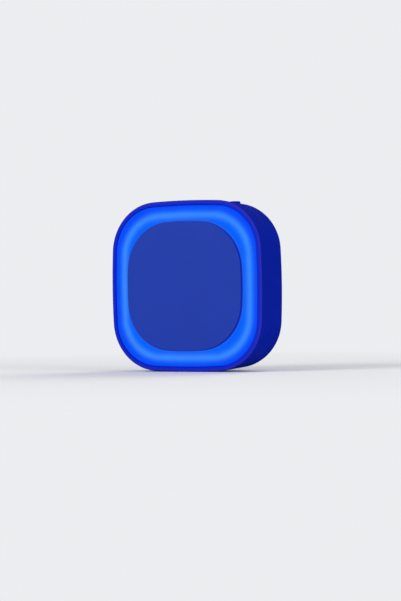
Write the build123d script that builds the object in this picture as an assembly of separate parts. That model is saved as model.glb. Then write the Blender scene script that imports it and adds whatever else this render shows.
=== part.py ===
from build123d import *

import os
from math import atan2, degrees, sqrt

# A plug-in night light, in millimetres: a rounded-square body whose face has a glowing ring round a plain
# panel. +Z is up and the face looks along -Y. The wall is the plane Y = 0, and the origin lies on it, midway
# between the two plug blades. "Depth" below is measured backwards from the plane of the ring's outer edge.

# ---- driving dimensions ----

BODY_DEPTH = 21.6  # ring plane to wall
FACE_HEIGHT = 22.85  # centre of the face above the blades' centre line

# Outlines: half width, radius of the bowed sides, radius of the corners.
RING_OUTLINE = (30.58, 285.5, 17.34)
PANEL_OUTLINE = (24.55, 103.0, 18.0)

RIM_WIDTH = 1.82  # rim seen round the ring
RIM_FRONT = -0.1
RIM_ROUND = 0.8
RIM_INNER_ROUND = 0.2
WALL_DRAFT = 0.05  # inward taper of the side walls, mm per mm of depth
REAR_ROUND = 4.5

PANEL_FRONT = -1.7
PANEL_EDGE_ROUND = 0.45
RING_FRONT = -0.35
RING_BACK = 1.45
RING_EDGE_ROUND = 0.8
RING_CLEARANCE = 0.12
RING_UNDER_PANEL = 1.0  # how far the ring reaches under the panel's edge

DECK_FRONT = 0.9
DECK_BACK = 2.3
CHANNEL_FLOOR = 5.2
CHANNEL_BACK = 6.6
CHANNEL_OUTER_LEDGE = 0.7
CHANNEL_INNER_LEDGE = 0.5
DECK_WALL = 1.2
FRAME_BACK = 6.0
PARTING_GAP = 0.15
TONGUE_BACK = 8.0
TONGUE_WALL = 0.75
LAP_CLEARANCE = 0.1
TONGUE_END_CLEARANCE = 0.15
CUT_OVERRUN = 1.0  # how far a cut runs past the face that it opens

HOUSING_WALL = 1.6
HOUSING_FLOOR = 19.8  # depth of the inside of the rear wall

LED_BOARD_FRONT = CHANNEL_BACK
LED_BOARD_BACK = 7.8
LED_BOARD_MARGIN = 0.35
LED_LINE_INSET = 3.5  # from the ring's outer edge
LED_COUNT = 24
LED_SIZE = (3.5, 2.8, 1.9)
LED_WELL = (1.15, 0.5)  # radius and depth
LED_WINDOW_CLEARANCE = 0.35

DRIVER_BOARD_FRONT = 17.2
DRIVER_BOARD_BACK = 18.4

BLADE_SPACING = 12.7
BLADE_THICKNESS = 1.5
BLADE_LENGTH = 16.5
LINE_BLADE_WIDTH = 6.35
NEUTRAL_BLADE_WIDTH = 7.9
BLADE_HOLE_RADIUS = 1.98
BLADE_HOLE_FROM_WALL = 11.9
BLADE_TIP_ROUND = 1.6
BLADE_TIP_CHAMFER = 0.45
BLADE_NECK_WIDTH = 5.6
BLADE_SHOULDER = 20.6  # depth of the shoulder inside the rear wall
BLADE_FOOT_FRONT = 18.3
BLADE_FOOT_END = 10.4
FOOT_END_CLEARANCE = 0.1
BLADE_TAB_WIDTH = 3.0
BLADE_TAB_FRONT = 13.7
SLOT_CLEARANCE = 0.05

CLAMP_FRONT = 15.2
CLAMP_EAR_BACK = 16.4
CLAMP_HALF_WIDTH = 10.7
CLAMP_BOTTOM = -3.9
CLAMP_TOP = 6.6
CLAMP_SCREW = (13.5, 1.5)  # from the plug's centre
CLAMP_EAR_RADIUS = 2.7
CLAMP_ROUND = 0.8
CLAMP_OVERLAP = 1.0  # how far an ear's arm reaches into the clamp

HOUSING_SCREW = (18.5, 13.0)  # from the face's centre, in all four quarters
BOSS_MEET = 10.0  # depth where the frame's bosses meet the housing's
FRAME_BOSS_RADIUS = 2.8
HOUSING_BOSS_RADIUS = 3.5
COUNTERBORE_RADIUS = 2.5
SCREW_SHELF = 12.0

# Screws: head radius, head height, shank radius, shank length.
HOUSING_SCREW_SIZE = (2.2, 1.6, 1.25, 8.2)
LED_BOARD_SCREW = (1.7, 1.2, 0.75, 4.4)
DRIVER_BOARD_SCREW = (1.8, 1.2, 0.75, 3.0)
CLAMP_SCREW_SIZE = (2.0, 1.4, 0.9, 5.2)
HEAD_ROUND = 0.4  # of the head's height
POINT_CHAMFER = 0.6  # of the shank's radius
RECESS_SPAN = 1.1  # of the head's radius
RECESS_WIDTH = 0.24  # of the head's radius
SCREW_HOLE_CLEARANCE = 0.15

BUTTON_X = 14.0
BUTTON_DEPTH = 14.5
BUTTON_RADIUS = 2.0
BUTTON_CLEARANCE = 0.1
BUTTON_TOP = 32.0  # above the face's centre
BUTTON_FLANGE = (28.75, 29.3)
BUTTON_FLANGE_RADIUS = 2.5
BUTTON_EDGE_ROUND = 0.5
PLUNGER_RADIUS = 1.2
PLUNGER_BOTTOM = 26.7
SWITCH_TOP = 27.9
SWITCH_SIZE = (6.0, 5.4, 3.6)
SWITCH_WELL_BOTTOM = 26.0

WINDOW_X = -13.0
WINDOW_RADIUS = 2.3
WINDOW_TOP = 31.45
WINDOW_FLANGE = (28.9, 29.3)
WINDOW_FLANGE_RADIUS = 2.8
WINDOW_EDGE_ROUND = 0.3
SENSOR_RADIUS = 1.5
SENSOR_BOTTOM = 23.6
SENSOR_DOME_CENTRE = 26.9
SENSOR_RIM = (1.75, 0.8)  # radius and height of the rim round its base
SENSOR_LEAD_WIDTH = 0.45
SENSOR_LEAD_X = 0.9  # either side of its middle
SENSOR_LEAD_DROP = 2.0

FRONT = (0, -1, 0)
REAR = (0, 1, 0)
UP = (0, 0, 1)


# ---- helpers ----


def at_depth(depth):
    """Y of the plane that lies this far behind the ring plane."""
    return depth - BODY_DEPTH


def face_plane(depth):
    """Plane parallel to the face, centred on it and looking out of it."""
    return Plane(origin=(0, at_depth(depth), FACE_HEIGHT), x_dir=(1, 0, 0), z_dir=FRONT)


def placed(x, depth, z, towards):
    """Location on the face's grid, with its own Z pointing the given way."""
    return Plane(origin=(x, at_depth(depth), FACE_HEIGHT + z), x_dir=(1, 0, 0), z_dir=towards).location


def rounded_square(outline, grow=0.0):
    """Face with four gently bowed sides and round corners; grow moves its whole edge outwards."""
    half_width, side_radius, corner_radius = outline
    bow = side_radius - half_width
    reach = side_radius - corner_radius
    corner = (sqrt(2 * reach**2 - bow**2) - bow) / 2
    turn = degrees(atan2(corner, corner + bow))
    side = CenterArc((-bow, 0), side_radius + grow, -turn, 2 * turn)
    bend = CenterArc((corner, corner), corner_radius + grow, turn, 90 - 2 * turn)
    edges = []
    for quarter in range(4):
        edges += (Rot(0, 0, 90 * quarter) * side).edges()
        edges += (Rot(0, 0, 90 * quarter) * bend).edges()
    return make_face(edges)


def slab(profile, front, back):
    """Prism of a face drawn on the face's grid, between two depths."""
    return extrude(face_plane(back) * profile, amount=back - front, dir=FRONT)


def tapered(outline, front, back, front_grow, back_grow):
    """Solid between two sizes of one outline at two depths."""
    sections = [face_plane(front) * rounded_square(outline, front_grow)]
    sections.append(face_plane(back) * rounded_square(outline, back_grow))
    return loft(sections, ruled=True)


def wall_grow(depth):
    """How far the side wall's outside stands beyond the ring's outline at a depth."""
    return RIM_WIDTH - WALL_DRAFT * (depth - RIM_ROUND)


def rod(x, z, radius, front, back):
    """Round bar parallel to Y between two depths, on the face's grid."""
    bar = Cylinder(radius, back - front, align=(Align.CENTER, Align.CENTER, Align.MIN))
    return placed(x, back, z, FRONT) * bar


def post(x, depth, radius, bottom, top):
    """Upright round bar between two heights above the face's centre."""
    base = Cylinder(radius, top - bottom, align=(Align.CENTER, Align.CENTER, Align.MIN))
    return placed(x, depth, bottom, UP) * base


def block(x_range, depth_range, z_range):
    """Box between two X values, two depths and two heights above the face's centre."""
    size = [high - low for low, high in (x_range, depth_range, z_range)]
    corner = (x_range[0], at_depth(depth_range[0]), FACE_HEIGHT + z_range[0])
    return Pos(*corner) * Box(*size, align=(Align.MIN, Align.MIN, Align.MIN))


def on_plug(z_range):
    """The same heights counted from the plug's centre line instead of the face's centre."""
    return tuple(z - FACE_HEIGHT for z in z_range)


def four_quarters(x, z):
    return [(sx * x, sz * z) for sz in (1, -1) for sx in (1, -1)]


def edge_of(part, axis, last):
    """Outer edges of the part's first or last face along an axis."""
    faces = part.faces().sort_by(axis)
    face = faces[-1] if last else faces[0]
    return face.outer_wire().edges()


def pan_screw(head_radius, head_height, shank_radius, shank_length):
    """Screw along Z, the underside of its head at the origin, with a cross recess and a pointed end."""
    head = Cylinder(head_radius, head_height, align=(Align.CENTER, Align.CENTER, Align.MIN))
    head = fillet(edge_of(head, Axis.Z, last=True), head_height * HEAD_ROUND)
    shank = Cylinder(shank_radius, shank_length, align=(Align.CENTER, Align.CENTER, Align.MAX))
    shank = chamfer(edge_of(shank, Axis.Z, last=False), shank_radius * POINT_CHAMFER)
    slot = Box(head_radius * RECESS_SPAN, head_radius * RECESS_WIDTH, head_height)
    recess = Pos(0, 0, head_height) * (slot + Rot(0, 0, 90) * slot)
    return head + shank - recess


def on_driver_board(x, z, size):
    """Box of size width, height along the board and thickness, standing on the driver board's front."""
    width, length, height = size
    base = Box(width, length, height, align=(Align.CENTER, Align.CENTER, Align.MIN))
    return placed(x, DRIVER_BOARD_FRONT, z, FRONT) * base


# ---- face ----

PANEL_POSTS = four_quarters(12.0, 12.0)
PANEL_POST_RADIUS = 1.2
STAKE_RADIUS = 1.9
STAKE_HEIGHT = 0.8
POST_CLEARANCE = 0.05


def make_front_panel():
    """Opaque panel: a thin cap, a smaller foot inside the ring and four posts staked behind the deck."""
    cap = slab(rounded_square(PANEL_OUTLINE), PANEL_FRONT, RING_FRONT)
    cap = fillet(edge_of(cap, Axis.Y, last=False), PANEL_EDGE_ROUND)
    foot_inset = RING_UNDER_PANEL + RING_CLEARANCE
    panel = cap + slab(rounded_square(PANEL_OUTLINE, -foot_inset), RING_FRONT, DECK_FRONT)
    for x, z in PANEL_POSTS:
        panel += rod(x, z, PANEL_POST_RADIUS, DECK_FRONT, DECK_BACK)
        panel += rod(x, z, STAKE_RADIUS, DECK_BACK, DECK_BACK + STAKE_HEIGHT)
    return panel


def make_light_ring():
    """Milky diffuser ring, its inner edge trapped under the panel."""
    outer = slab(rounded_square(RING_OUTLINE, -RING_CLEARANCE), RING_FRONT, RING_BACK)
    outer = fillet(edge_of(outer, Axis.Y, last=False), RING_EDGE_ROUND)
    return outer - slab(rounded_square(PANEL_OUTLINE, -RING_UNDER_PANEL), RING_FRONT, RING_BACK)


LED_BOARD_BOSSES = four_quarters(9.0, 18.0)
LED_BOARD_BOSS_RADIUS = 2.2
LED_BOARD_PILOT_RADIUS = 0.8
LED_BOARD_PILOT_FRONT = 2.9
DECK_EDGE = -(RING_UNDER_PANEL + 0.15)  # the deck's edge, from the panel's outline
HOUSING_PILOT_RADIUS = 1.3
HOUSING_PILOT_FRONT = 3.4


def led_seats():
    """Evenly spaced places along the middle of the light channel: X, Z and the turn that lies along it."""
    line = rounded_square(RING_OUTLINE, -LED_LINE_INSET).face().outer_wire()
    seats = []
    for number in range(LED_COUNT):
        along = (number + 0.5) / LED_COUNT
        point = line.position_at(along)
        tangent = line.tangent_at(along)
        seats.append((point.X, point.Y, degrees(atan2(tangent.Y, tangent.X))))
    return seats


def led_windows():
    width, height = (side + 2 * LED_WINDOW_CLEARANCE for side in LED_SIZE[:2])
    windows = [Pos(x, z) * Rot(0, 0, turn) * Rectangle(width, height) for x, z, turn in led_seats()]
    return slab(Sketch() + windows, CHANNEL_FLOOR, CHANNEL_BACK)


def make_front_frame():
    """Rim, light channel and deck in one moulding, with a tongue that enters the rear housing."""
    frame = tapered(RING_OUTLINE, RIM_FRONT, FRAME_BACK, wall_grow(RIM_FRONT), wall_grow(FRAME_BACK))
    frame = fillet(edge_of(frame, Axis.Y, last=False), RIM_ROUND)
    frame += slab(rounded_square(RING_OUTLINE, TONGUE_WALL), CHANNEL_FLOOR, CHANNEL_BACK)
    tongue = rounded_square(RING_OUTLINE, TONGUE_WALL) - rounded_square(RING_OUTLINE)
    frame += slab(tongue, CHANNEL_FLOOR, TONGUE_BACK)

    frame -= slab(rounded_square(RING_OUTLINE), RIM_FRONT, DECK_FRONT)
    ring_seat = rounded_square(RING_OUTLINE) - rounded_square(PANEL_OUTLINE, DECK_EDGE)
    frame -= slab(ring_seat, DECK_FRONT, RING_BACK)
    channel = rounded_square(RING_OUTLINE, -CHANNEL_OUTER_LEDGE)
    channel -= rounded_square(PANEL_OUTLINE, -CHANNEL_INNER_LEDGE)
    frame -= slab(channel, RING_BACK, CHANNEL_FLOOR)
    frame -= slab(rounded_square(PANEL_OUTLINE, DECK_EDGE - DECK_WALL), DECK_BACK, CHANNEL_BACK)
    frame = fillet(rim_inner_edge(frame), RIM_INNER_ROUND)
    frame -= led_windows()

    for x, z in PANEL_POSTS:
        frame -= rod(x, z, PANEL_POST_RADIUS + POST_CLEARANCE, DECK_FRONT, DECK_BACK)
    for x, z in four_quarters(*HOUSING_SCREW):
        frame += rod(x, z, FRAME_BOSS_RADIUS, DECK_BACK, BOSS_MEET)
        frame -= rod(x, z, HOUSING_PILOT_RADIUS, HOUSING_PILOT_FRONT, BOSS_MEET)
    for x, z in LED_BOARD_BOSSES:
        frame += rod(x, z, LED_BOARD_BOSS_RADIUS, DECK_BACK, LED_BOARD_FRONT)
        frame -= rod(x, z, LED_BOARD_PILOT_RADIUS, LED_BOARD_PILOT_FRONT, LED_BOARD_FRONT)
    return frame


def rim_inner_edge(frame):
    """The edge of the opening that the ring sits in."""
    rim_face = frame.faces().filter_by(Plane.XZ).sort_by(Axis.Y)[0]
    return rim_face.inner_wires()[0].edges()


# ---- light source ----

HEADER_Z = 18.0
HEADER_PITCH = 2.54
HEADER_X = [HEADER_PITCH * (number - 1.5) for number in range(4)]
HEADER_BLOCK = (10.2, 2.5, 2.5)
HEADER_HOLE_RADIUS = 0.5
PIN_WIDTH = 0.64
PIN_FRONT = 5.9
PIN_BACK = 19.1
BOARD_HOLE_RADIUS = 0.55
BOARD_BOSS_CLEARANCE = 0.4


def make_led_board():
    board = slab(rounded_square(RING_OUTLINE, -LED_BOARD_MARGIN), LED_BOARD_FRONT, LED_BOARD_BACK)
    for x, z in four_quarters(*HOUSING_SCREW):
        board -= rod(x, z, FRAME_BOSS_RADIUS + BOARD_BOSS_CLEARANCE, LED_BOARD_FRONT, LED_BOARD_BACK)
    for x, z in LED_BOARD_BOSSES:
        board -= rod(x, z, LED_BOARD_SCREW[2] + SCREW_HOLE_CLEARANCE, LED_BOARD_FRONT, LED_BOARD_BACK)
    for x in HEADER_X:
        board -= rod(x, HEADER_Z, BOARD_HOLE_RADIUS, LED_BOARD_FRONT, LED_BOARD_BACK)
    return board


def make_leds():
    """Surface-mounted lamps: a white block with a round well that holds the chip."""
    base = Box(*LED_SIZE, align=(Align.CENTER, Align.CENTER, Align.MIN))
    well = Cylinder(*LED_WELL, align=(Align.CENTER, Align.CENTER, Align.MAX))
    lamp = base - Pos(0, 0, LED_SIZE[2]) * well
    plane = face_plane(LED_BOARD_FRONT)
    return [plane * Pos(x, z) * Rot(0, 0, turn) * lamp for x, z, turn in led_seats()]


def make_led_board_screws():
    screw = pan_screw(*LED_BOARD_SCREW)
    return [placed(x, LED_BOARD_BACK, z, REAR) * screw for x, z in LED_BOARD_BOSSES]


# ---- rear housing and plug ----

DRIVER_BOARD_BOSSES = [(-13.0, -6.5), (13.0, -6.5), (0.0, 25.0)]
DRIVER_BOARD_BOSS_RADIUS = 2.2
DRIVER_BOARD_PILOT_RADIUS = 0.8
CLAMP_BOSS_RADIUS = 2.4
CLAMP_PILOT_RADIUS = 0.95
PILOT_BACK = 20.5
BOSS_ROOT = HOUSING_FLOOR + 0.3  # bosses start inside the rear wall


def clamp_screw_places():
    x, z = CLAMP_SCREW
    return [(side * x, z - FACE_HEIGHT) for side in (-1, 1)]


def blade_slots(side, width):
    """Stepped slot: the blade's full width outside, its narrower neck inside."""
    x = side * BLADE_SPACING / 2
    half = BLADE_THICKNESS / 2 + SLOT_CLEARANCE
    across = (x - half, x + half)
    wide = width / 2 + SLOT_CLEARANCE
    neck = BLADE_NECK_WIDTH / 2 + SLOT_CLEARANCE
    outside = block(across, (BLADE_SHOULDER, BODY_DEPTH + CUT_OVERRUN), on_plug((-wide, wide)))
    return outside + block(across, (HOUSING_FLOOR - CUT_OVERRUN, BLADE_SHOULDER), on_plug((-neck, neck)))


def make_rear_housing():
    """Tapered tub with a round rear edge, screw tubes and board bosses."""
    front = FRAME_BACK + PARTING_GAP
    tub = tapered(RING_OUTLINE, front, BODY_DEPTH, wall_grow(front), wall_grow(BODY_DEPTH))
    tub = fillet(edge_of(tub, Axis.Y, last=True), REAR_ROUND)
    cut_front = front - CUT_OVERRUN
    inside_grow = [wall_grow(depth) - HOUSING_WALL for depth in (cut_front, HOUSING_FLOOR)]
    inside = tapered(RING_OUTLINE, cut_front, HOUSING_FLOOR, *inside_grow)
    inside = fillet(edge_of(inside, Axis.Y, last=True), REAR_ROUND - HOUSING_WALL)
    tub -= inside
    tongue_room = rounded_square(RING_OUTLINE, TONGUE_WALL + LAP_CLEARANCE)
    tub -= slab(tongue_room, cut_front, TONGUE_BACK + TONGUE_END_CLEARANCE)

    for x, z in four_quarters(*HOUSING_SCREW):
        tub += rod(x, z, HOUSING_BOSS_RADIUS, BOSS_MEET, BOSS_ROOT)
        tub -= rod(x, z, COUNTERBORE_RADIUS, SCREW_SHELF, BODY_DEPTH)
        tub -= rod(x, z, HOUSING_SCREW_SIZE[2] + SCREW_HOLE_CLEARANCE, BOSS_MEET, SCREW_SHELF)
    for x, z in DRIVER_BOARD_BOSSES:
        tub += rod(x, z, DRIVER_BOARD_BOSS_RADIUS, DRIVER_BOARD_BACK, BOSS_ROOT)
        tub -= rod(x, z, DRIVER_BOARD_PILOT_RADIUS, DRIVER_BOARD_BACK, PILOT_BACK)
    for x, z in clamp_screw_places():
        tub += rod(x, z, CLAMP_BOSS_RADIUS, CLAMP_EAR_BACK, BOSS_ROOT)
        tub -= rod(x, z, CLAMP_PILOT_RADIUS, CLAMP_EAR_BACK, PILOT_BACK)
    tub -= blade_slots(1, LINE_BLADE_WIDTH)
    tub -= blade_slots(-1, NEUTRAL_BLADE_WIDTH)
    above = BUTTON_TOP + CUT_OVERRUN
    tub -= post(BUTTON_X, BUTTON_DEPTH, BUTTON_RADIUS + BUTTON_CLEARANCE, BUTTON_FLANGE[0], above)
    tub -= post(WINDOW_X, BUTTON_DEPTH, WINDOW_RADIUS + SLOT_CLEARANCE, WINDOW_FLANGE[0], above)
    return tub


def make_housing_screws():
    screw = pan_screw(*HOUSING_SCREW_SIZE)
    return [placed(x, SCREW_SHELF, z, REAR) * screw for x, z in four_quarters(*HOUSING_SCREW)]


def make_blade(side, width):
    """Plug blade: rounded tip with a hole, shoulders in the wall, a foot bent outwards, a solder tab."""
    x = side * BLADE_SPACING / 2
    half = BLADE_THICKNESS / 2
    across = (x - half, x + half)
    prong = block(across, (BLADE_SHOULDER, BODY_DEPTH + BLADE_LENGTH), on_plug((-width / 2, width / 2)))
    tip_corners = prong.edges().filter_by(Axis.X).group_by(Axis.Y)[-1]
    prong = fillet(tip_corners, BLADE_TIP_ROUND)
    prong = chamfer(prong.faces().sort_by(Axis.Y)[-1].edges().filter_by(Axis.Z), BLADE_TIP_CHAMFER)
    hole = Cylinder(BLADE_HOLE_RADIUS, BLADE_THICKNESS * 2, rotation=(0, 90, 0))
    prong -= Pos(x, BLADE_HOLE_FROM_WALL, 0) * hole
    neck = BLADE_NECK_WIDTH / 2
    shank = block(across, (BLADE_FOOT_FRONT, BLADE_SHOULDER), on_plug((-neck, neck)))
    foot_x = sorted((x, side * BLADE_FOOT_END))
    foot_depth = (BLADE_FOOT_FRONT, BLADE_FOOT_FRONT + BLADE_THICKNESS)
    foot = block(foot_x, foot_depth, on_plug((-neck, neck)))
    tab_half = BLADE_TAB_WIDTH / 2
    tab = block(across, (BLADE_TAB_FRONT, BLADE_FOOT_FRONT), on_plug((-tab_half, tab_half)))
    return prong + shank + foot + tab


def make_blade_clamp():
    """Moulded clamp over the blades' feet, screwed to two bosses through its ears."""
    body_x = (-CLAMP_HALF_WIDTH, CLAMP_HALF_WIDTH)
    clamp = block(body_x, (CLAMP_FRONT, HOUSING_FLOOR), on_plug((CLAMP_BOTTOM, CLAMP_TOP)))
    clamp = fillet(clamp.edges().filter_by(Axis.Y), CLAMP_ROUND)
    screw_x, screw_z = CLAMP_SCREW
    for x, z in clamp_screw_places():
        ear = rod(x, z, CLAMP_EAR_RADIUS, CLAMP_FRONT, CLAMP_EAR_BACK)
        arm_x = sorted((x, x - x / abs(x) * (screw_x - CLAMP_HALF_WIDTH + CLAMP_OVERLAP)))
        arm_z = on_plug((screw_z - CLAMP_EAR_RADIUS, screw_z + CLAMP_EAR_RADIUS))
        clamp += ear + block(arm_x, (CLAMP_FRONT, CLAMP_EAR_BACK), arm_z)
        clamp -= rod(x, z, CLAMP_SCREW_SIZE[2] + SCREW_HOLE_CLEARANCE, CLAMP_FRONT, CLAMP_EAR_BACK)
    clear = SLOT_CLEARANCE
    neck = BLADE_NECK_WIDTH / 2 + clear
    tab = BLADE_TAB_WIDTH / 2 + clear
    for side in (-1, 1):
        near = side * (BLADE_SPACING / 2 - BLADE_THICKNESS / 2 - clear)
        far = side * (BLADE_SPACING / 2 + BLADE_THICKNESS / 2 + clear)
        foot_x = sorted((near, side * (BLADE_FOOT_END + FOOT_END_CLEARANCE)))
        clamp -= block(foot_x, (BLADE_FOOT_FRONT, HOUSING_FLOOR), on_plug((-neck, neck)))
        clamp -= block(sorted((near, far)), (CLAMP_FRONT, BLADE_FOOT_FRONT), on_plug((-tab, tab)))
    return clamp


def make_clamp_screws():
    screw = pan_screw(*CLAMP_SCREW_SIZE)
    return [placed(x, CLAMP_FRONT, z, FRONT) * screw for x, z in clamp_screw_places()]


# ---- driver board ----

BOARD_MAIN = (14.4, -10.0, 27.5)  # half width, bottom, top
BOARD_SHOULDERS = (19.0, 17.4)  # half width and bottom of the wider top strip
BOARD_ROUND = 0.8
LEAD_RADIUS = 0.8
LEAD_PAD = (8.0, -8.5)
LEAD_DEPTH = BLADE_TAB_FRONT - LEAD_RADIUS
LEAD_START = -1.2
LEAD_RISE = 5.0
LEAD_BEND = 2.0

FILM_CAPACITOR = (-4.0, -2.0, (13.0, 6.5, 7.5))
FILM_CAPACITOR_ROUND = 0.6
BRIDGE_RECTIFIER = (-9.0, 14.0, (4.7, 3.9, 2.6))
BRIDGE_CHAMFER = 0.4
BRIDGE_LEG = (1.1, 0.7, 0.3)
CONTROLLER_CHIP = (-1.0, 13.0, (4.9, 3.9, 1.55))
CHIP_LEG = (0.4, 1.1, 0.3)
CHIP_DOT = (-1.6, 1.1, 0.35, 0.1)  # X and Z from the chip's middle, radius, depth
LEG_PITCH = 1.27
LEG_OVERLAP = 0.1  # how far a leg starts inside its body
TRANSISTORS_X = (5.2, 8.8, 12.4)
TRANSISTORS_Z = 14.6
TRANSISTOR_SIZE = (1.5, 2.9, 1.1)
CHIP_RESISTOR_SIZE = (1.25, 2.0, 0.5)
CHIP_RESISTORS_Z = 21.6
CHIP_RESISTORS_X = [-8.0 + 2.3 * number for number in range(8)]
ELECTROLYTIC = (-5.0, 6.5, 3.15, 11.0)  # X, Z, radius, length
ELECTROLYTIC_GROOVE = (4.0, 0.8, 0.35)  # from the can's middle, width, depth
FUSE_RESISTOR = (8.5, -2.0, 1.75, 9.0)
RESISTOR_WAIST = 1.54
RESISTOR_CAP = 2.2  # length of each thicker end
VARISTOR = (8.0, 8.2, 4.0, 3.5)
VARISTOR_ROUND = 1.0


def make_driver_board():
    half, bottom, top = BOARD_MAIN
    wide, wide_bottom = BOARD_SHOULDERS
    depths = (DRIVER_BOARD_FRONT, DRIVER_BOARD_BACK)
    board = block((-half, half), depths, (bottom, top)) + block((-wide, wide), depths, (wide_bottom, top))
    board = fillet(board.edges().filter_by(Axis.Y), BOARD_ROUND)
    for x, z in DRIVER_BOARD_BOSSES:
        board -= rod(x, z, DRIVER_BOARD_SCREW[2] + SCREW_HOLE_CLEARANCE, *depths)
    for x in HEADER_X:
        board -= rod(x, HEADER_Z, BOARD_HOLE_RADIUS, *depths)
    return board


def make_driver_board_screws():
    screw = pan_screw(*DRIVER_BOARD_SCREW)
    return [placed(x, DRIVER_BOARD_FRONT, z, FRONT) * screw for x, z in DRIVER_BOARD_BOSSES]


def make_film_capacitor():
    x, z, size = FILM_CAPACITOR
    case = on_driver_board(x, z, size)
    return fillet(case.edges(), FILM_CAPACITOR_ROUND)


def make_electrolytic_capacitor():
    """Rolled aluminium can, lying across the board, with a groove near its sealed end."""
    x, z, radius, length = ELECTROLYTIC
    groove_x, groove_width, groove_depth = ELECTROLYTIC_GROOVE
    groove = Cylinder(radius + CUT_OVERRUN, groove_width) - Cylinder(radius - groove_depth, groove_width)
    can = Cylinder(radius, length) - Pos(0, 0, groove_x) * groove
    return placed(x, DRIVER_BOARD_FRONT - radius, z, FRONT) * Rot(0, 90, 0) * can


def make_fuse_resistor():
    """Resistor lying up the board: a thinner waist between two end caps."""
    x, z, radius, length = FUSE_RESISTOR
    barrel = Cylinder(RESISTOR_WAIST, length)
    for end in (-1, 1):
        barrel += Pos(0, 0, end * (length - RESISTOR_CAP) / 2) * Cylinder(radius, RESISTOR_CAP)
    return placed(x, DRIVER_BOARD_FRONT - radius, z, UP) * barrel


def make_surge_varistor():
    x, z, radius, thickness = VARISTOR
    disc = rod(x, z, radius, DRIVER_BOARD_FRONT - thickness, DRIVER_BOARD_FRONT)
    return fillet(disc.edges(), VARISTOR_ROUND)


def make_bridge_rectifier():
    x, z, size = BRIDGE_RECTIFIER
    body = chamfer(on_driver_board(x, z, size).edges().filter_by(Axis.Y), BRIDGE_CHAMFER)
    leg_reach = (size[0] + BRIDGE_LEG[0]) / 2 - LEG_OVERLAP
    for side in (-1, 1):
        for row in (-1, 1):
            body += on_driver_board(x + side * leg_reach, z + row * LEG_PITCH, BRIDGE_LEG)
    return body


def make_controller_chip():
    """Eight-legged chip with a dot at its first leg."""
    x, z, size = CONTROLLER_CHIP
    dot_x, dot_z, dot_radius, dot_depth = CHIP_DOT
    top = DRIVER_BOARD_FRONT - size[2]
    body = on_driver_board(x, z, size) - rod(x + dot_x, z + dot_z, dot_radius, top, top + dot_depth)
    leg_reach = (size[1] + CHIP_LEG[1]) / 2 - LEG_OVERLAP
    for side in (-1, 1):
        for number in range(4):
            body += on_driver_board(x + LEG_PITCH * (number - 1.5), z + side * leg_reach, CHIP_LEG)
    return body


def make_driver_transistors():
    return [on_driver_board(x, TRANSISTORS_Z, TRANSISTOR_SIZE) for x in TRANSISTORS_X]


def make_chip_resistors():
    return [on_driver_board(x, CHIP_RESISTORS_Z, CHIP_RESISTOR_SIZE) for x in CHIP_RESISTORS_X]


def make_header_block():
    base = on_driver_board(0, HEADER_Z, HEADER_BLOCK)
    front = DRIVER_BOARD_FRONT - HEADER_BLOCK[2]
    for x in HEADER_X:
        base -= rod(x, HEADER_Z, HEADER_HOLE_RADIUS, front, DRIVER_BOARD_FRONT)
    return base


def make_header_pins():
    half = PIN_WIDTH / 2
    z_range = (HEADER_Z - half, HEADER_Z + half)
    return [block((x - half, x + half), (PIN_FRONT, PIN_BACK), z_range) for x in HEADER_X]


def make_lead(side):
    """Insulated wire from a blade's tab up to its pad on the driver board."""
    pad_x, pad_z = LEAD_PAD
    blade_x = side * BLADE_SPACING / 2
    near = at_depth(LEAD_DEPTH)
    route = FilletPolyline(
        (blade_x, near, LEAD_START),
        (blade_x, near, LEAD_RISE),
        (side * pad_x, near, FACE_HEIGHT + pad_z),
        (side * pad_x, at_depth(DRIVER_BOARD_FRONT), FACE_HEIGHT + pad_z),
        radius=LEAD_BEND,
    )
    section = Plane(origin=route @ 0, z_dir=route % 0) * Circle(LEAD_RADIUS)
    return sweep(section, path=route)


# ---- sensor and button ----


def make_light_sensor():
    """Round phototransistor that looks up at its window, with two leads bent down to the board."""
    body = post(WINDOW_X, BUTTON_DEPTH, SENSOR_RADIUS, SENSOR_BOTTOM, SENSOR_DOME_CENTRE)
    body += placed(WINDOW_X, BUTTON_DEPTH, SENSOR_DOME_CENTRE, UP) * Sphere(SENSOR_RADIUS)
    rim_radius, rim_height = SENSOR_RIM
    body += post(WINDOW_X, BUTTON_DEPTH, rim_radius, SENSOR_BOTTOM, SENSOR_BOTTOM + rim_height)
    half = SENSOR_LEAD_WIDTH / 2
    bend = SENSOR_BOTTOM - SENSOR_LEAD_DROP
    for side in (-1, 1):
        lead_x = WINDOW_X + side * SENSOR_LEAD_X
        across = (lead_x - half, lead_x + half)
        body += block(across, (BUTTON_DEPTH - half, BUTTON_DEPTH + half), (bend, SENSOR_BOTTOM))
        body += block(across, (BUTTON_DEPTH - half, DRIVER_BOARD_FRONT), (bend, bend + SENSOR_LEAD_WIDTH))
    return body


def make_sensor_window():
    shaft = post(WINDOW_X, BUTTON_DEPTH, WINDOW_RADIUS, WINDOW_FLANGE[0], WINDOW_TOP)
    shaft = fillet(edge_of(shaft, Axis.Z, last=True), WINDOW_EDGE_ROUND)
    return shaft + post(WINDOW_X, BUTTON_DEPTH, WINDOW_FLANGE_RADIUS, *WINDOW_FLANGE)


def make_mode_button():
    """Round push button with a flange that keeps it in the housing."""
    cap = post(BUTTON_X, BUTTON_DEPTH, BUTTON_RADIUS, BUTTON_FLANGE[0], BUTTON_TOP)
    cap = fillet(edge_of(cap, Axis.Z, last=True), BUTTON_EDGE_ROUND)
    return cap + post(BUTTON_X, BUTTON_DEPTH, BUTTON_FLANGE_RADIUS, *BUTTON_FLANGE)


def make_switch_plunger():
    return post(BUTTON_X, BUTTON_DEPTH, PLUNGER_RADIUS, PLUNGER_BOTTOM, BUTTON_FLANGE[0])


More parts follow.
